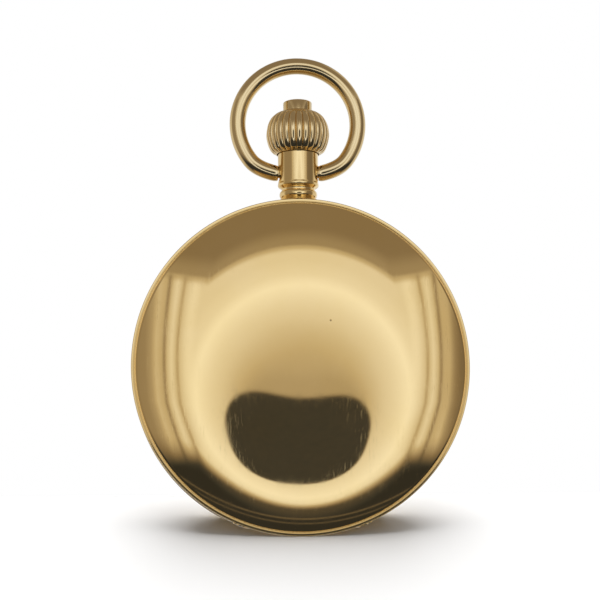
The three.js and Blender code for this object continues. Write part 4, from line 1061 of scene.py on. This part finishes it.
def surroundings():
    """A studio seen in the polished metal: a large soft light in front, a dark lens in it, and darker walls.

    Places in the studio are given by the x and z of the direction that they are seen in.
    """
    world = bpy.data.worlds.new("studio")
    bpy.context.scene.world = world
    world.use_nodes = True
    world.node_tree.nodes.clear()
    tree = Tree(world.node_tree)
    x, y, z = tree.parts(tree.node("ShaderNodeTexCoord", out="Generated"))
    u = x - 0.06
    across = abs(u)
    ring = (u * u + (z + 0.06) * (z + 0.06)).root()
    # The soft light: dimmest round the lens and brightest towards its rim.
    light = tree.greys(
        ring,
        (0.15, 0.47), (0.19, 0.62), (0.25, 0.76), (0.31, 0.85), (0.385, 0.98), (0.44, 0.86), (0.52, 0.8),
        (0.7, 0.78),
    )
    # Upright strips of light and shade on the walls at both sides; they lean inwards below.
    lean = across + 0.22 * (-0.05 - z).most(0.0)
    strips = tree.greys(
        lean,
        (0.39, 1.0), (0.44, 0.84), (0.474, 0.7), (0.486, 0.46), (0.5, 0.68), (0.525, 0.83), (0.555, 0.66),
        (0.574, 0.3), (0.59, 0.58), (0.63, 0.66), (0.66, 0.45), (0.7, 0.34), (0.8, 0.3),
    )
    strips = strips * (1.0 - 0.35 * x.step(0.64, 0.76))
    shown = mix_values(across.step(0.37, 0.45), light, strips)
    # The ceiling begins in an arc, with a thin bright line along its edge.
    above = z - (0.53 - 0.85 * u * u).most(0.3 + 0.35 * across)
    ceiling = 0.26 + 0.1 * (1.0 - above.step(0.04, 0.14)) + 0.1 * above.bump(0.012, 0.03)
    shown = mix_values(above.step(-0.025, 0.03), shown, ceiling)
    # The dark table below, with two thin light arcs across it.
    below = -z - 0.5 + 1.25 * (u * u).least(0.2)
    arc = z - 0.55 * u * u
    table = 0.035 + 0.06 * (1.0 - below.step(0.02, 0.12)) + 0.13 * arc.bump(-0.588, 0.016)
    table = table + 0.1 * arc.bump(-0.618, 0.014)
    shown = mix_values(below.step(-0.02 - 0.1 * u * u, 0.03 + 0.25 * u * u), shown, table)
    # The lens in the middle of the light.
    lens = (abs((x - 0.04) / 0.238)) ** 2.4 + (abs((z + 0.15) / 0.205)) ** 2.4
    dust = tree.noise(tree.node("ShaderNodeTexCoord", out="Generated"), 60.0, 3.0, 0.7)
    shown = mix_values(lens.step(1.05, 0.95) * y.step(-0.2, -0.3), shown, 0.042 + 0.03 * dust)
    # The room behind the watch.
    room = 0.7 - 0.45 * abs(z).step(0.15, 0.9) + 0.25 * x.bump(0.5, 0.5)
    shown = mix_values(y.step(-0.1, 0.25), shown, room)
    tint = {
        "stops": [
            (0.0, (0.0, 0.0, 0.0)), (0.05, (0.048, 0.05, 0.054)), (0.26, (0.26, 0.215, 0.165)),
            (0.6, (0.6, 0.55, 0.46)), (1.0, (1.03, 1.1, 1.24)),
        ]
    }
    reflected = tree.node("ShaderNodeBackground", None, tree.node("ShaderNodeValToRGB", tint, shown), 1.0)
    paper = tree.node("ShaderNodeBackground", None, (1.0, 1.0, 1.0, 1.0), 1.0)
    faint = tree.node("ShaderNodeBackground", None, (1.0, 1.0, 1.0, 1.0), 0.25)
    by_camera = tree.node("ShaderNodeLightPath", out="Is Camera Ray")
    by_matt = tree.node("ShaderNodeLightPath", out="Is Diffuse Ray")
    mixed = tree.node("ShaderNodeMixShader", None, by_matt, reflected, faint)
    mixed = tree.node("ShaderNodeMixShader", None, by_camera, mixed, paper)
    tree.node("ShaderNodeOutputWorld", None, mixed)


def mix_values(share, low, high):
    """A value between low and high, which may be numbers or sockets."""
    return low + (high - low) * share if isinstance(low, Value) else high * share + low * (1.0 - share)


FLOOR_TILT = math.radians(24.0)
SUN_BEHIND = math.radians(4.0)


def floor():
    """A pale floor that falls away towards the camera from a crest behind the watch, and is level beyond."""
    material, tree, shader = new_material("pale floor")
    grain = tree.noise(tree.stretched((0.3, 0.3, 0.3)), 1.0, 3.0)
    finish_shader(tree, shader, Base_Color=(0.9, 0.9, 0.9), Roughness=0.75 + 0.1 * grain)
    half, crest = 400.0, 16.0
    verts = []
    for along, level in ((-half, 0.0), (crest, 0.0), (crest, half)):
        y = along * math.cos(FLOOR_TILT) - RIM["face"] + level
        z = along * math.sin(FLOOR_TILT) - 0.05
        verts += [(-half, y, z), (half, y, z)]
    obj = make_object("floor", verts, [(0, 1, 3, 2), (2, 3, 5, 4)], sharp=5.0)
    obj.data.materials.append(material)
    obj.visible_glossy = False
    return obj


def overhead_sun(strength, spread):
    """Even light from above and a little behind the watch, spread over a wide part of the sky."""
    data = bpy.data.lights.new("overhead sun", "SUN")
    data.energy = strength
    data.angle = math.radians(spread)
    obj = bpy.data.objects.new("overhead sun", data)
    bpy.context.scene.collection.objects.link(obj)
    down = Vector((0.0, -math.sin(SUN_BEHIND), -math.cos(SUN_BEHIND)))
    obj.rotation_euler = down.to_track_quat("-Z", "Y").to_euler()
    obj.visible_glossy = False
    return obj


def soft_light(name, place, target, size, power):
    """A large square light that isn't itself seen in the metal."""
    data = bpy.data.lights.new(name, "AREA")
    data.shape = "SQUARE"
    data.size = size * MM
    data.energy = power
    obj = bpy.data.objects.new(name, data)
    bpy.context.scene.collection.objects.link(obj)
    obj.location = Vector(place) * MM
    obj.rotation_euler = (Vector(target) - Vector(place)).to_track_quat("-Z", "Y").to_euler()
    obj.visible_glossy = False
    return obj


def camera():
    """The camera, a little below the watch's middle and to its left."""
    data = bpy.data.cameras.new("camera")
    data.sensor_width = 36.0
    distance = 260.0
    data.lens = 107.3
    data.clip_start, data.clip_end = 0.005, 5.0
    obj = bpy.data.objects.new("camera", data)
    bpy.context.scene.collection.objects.link(obj)
    left, below, roll = math.radians(3.6), math.radians(6.25), math.radians(-0.55)
    away = Vector((-math.sin(left) * math.cos(below), -math.cos(left) * math.cos(below), -math.sin(below)))
    place = Vector((0.0, -APEX, MIDDLE)) + away * distance
    target = Vector((0.1, 0.0, MIDDLE + 10.18))
    obj.location = place * MM
    aim = (target - place).to_track_quat("-Z", "Y").to_matrix()
    obj.rotation_euler = (aim @ Matrix.Rotation(roll, 3, "Z")).to_euler()
    bpy.context.scene.camera = obj


# ---------------------------------------------------------------- assembly

bpy.context.scene.view_settings.view_transform = "Standard"
camera()
surroundings()
floor()
overhead_sun(3.7, 62.0)
soft_light("dial side light", (60, 260, 160), (0, 0, MIDDLE), 160, 0.5)

back_cover()
dust_cover()
case_band()
front_bezel()
hinge_pin()
crystal()
pendant()
bow()
crown()
push_button()
dial_furniture()
movement_furniture()
dress_nodes()
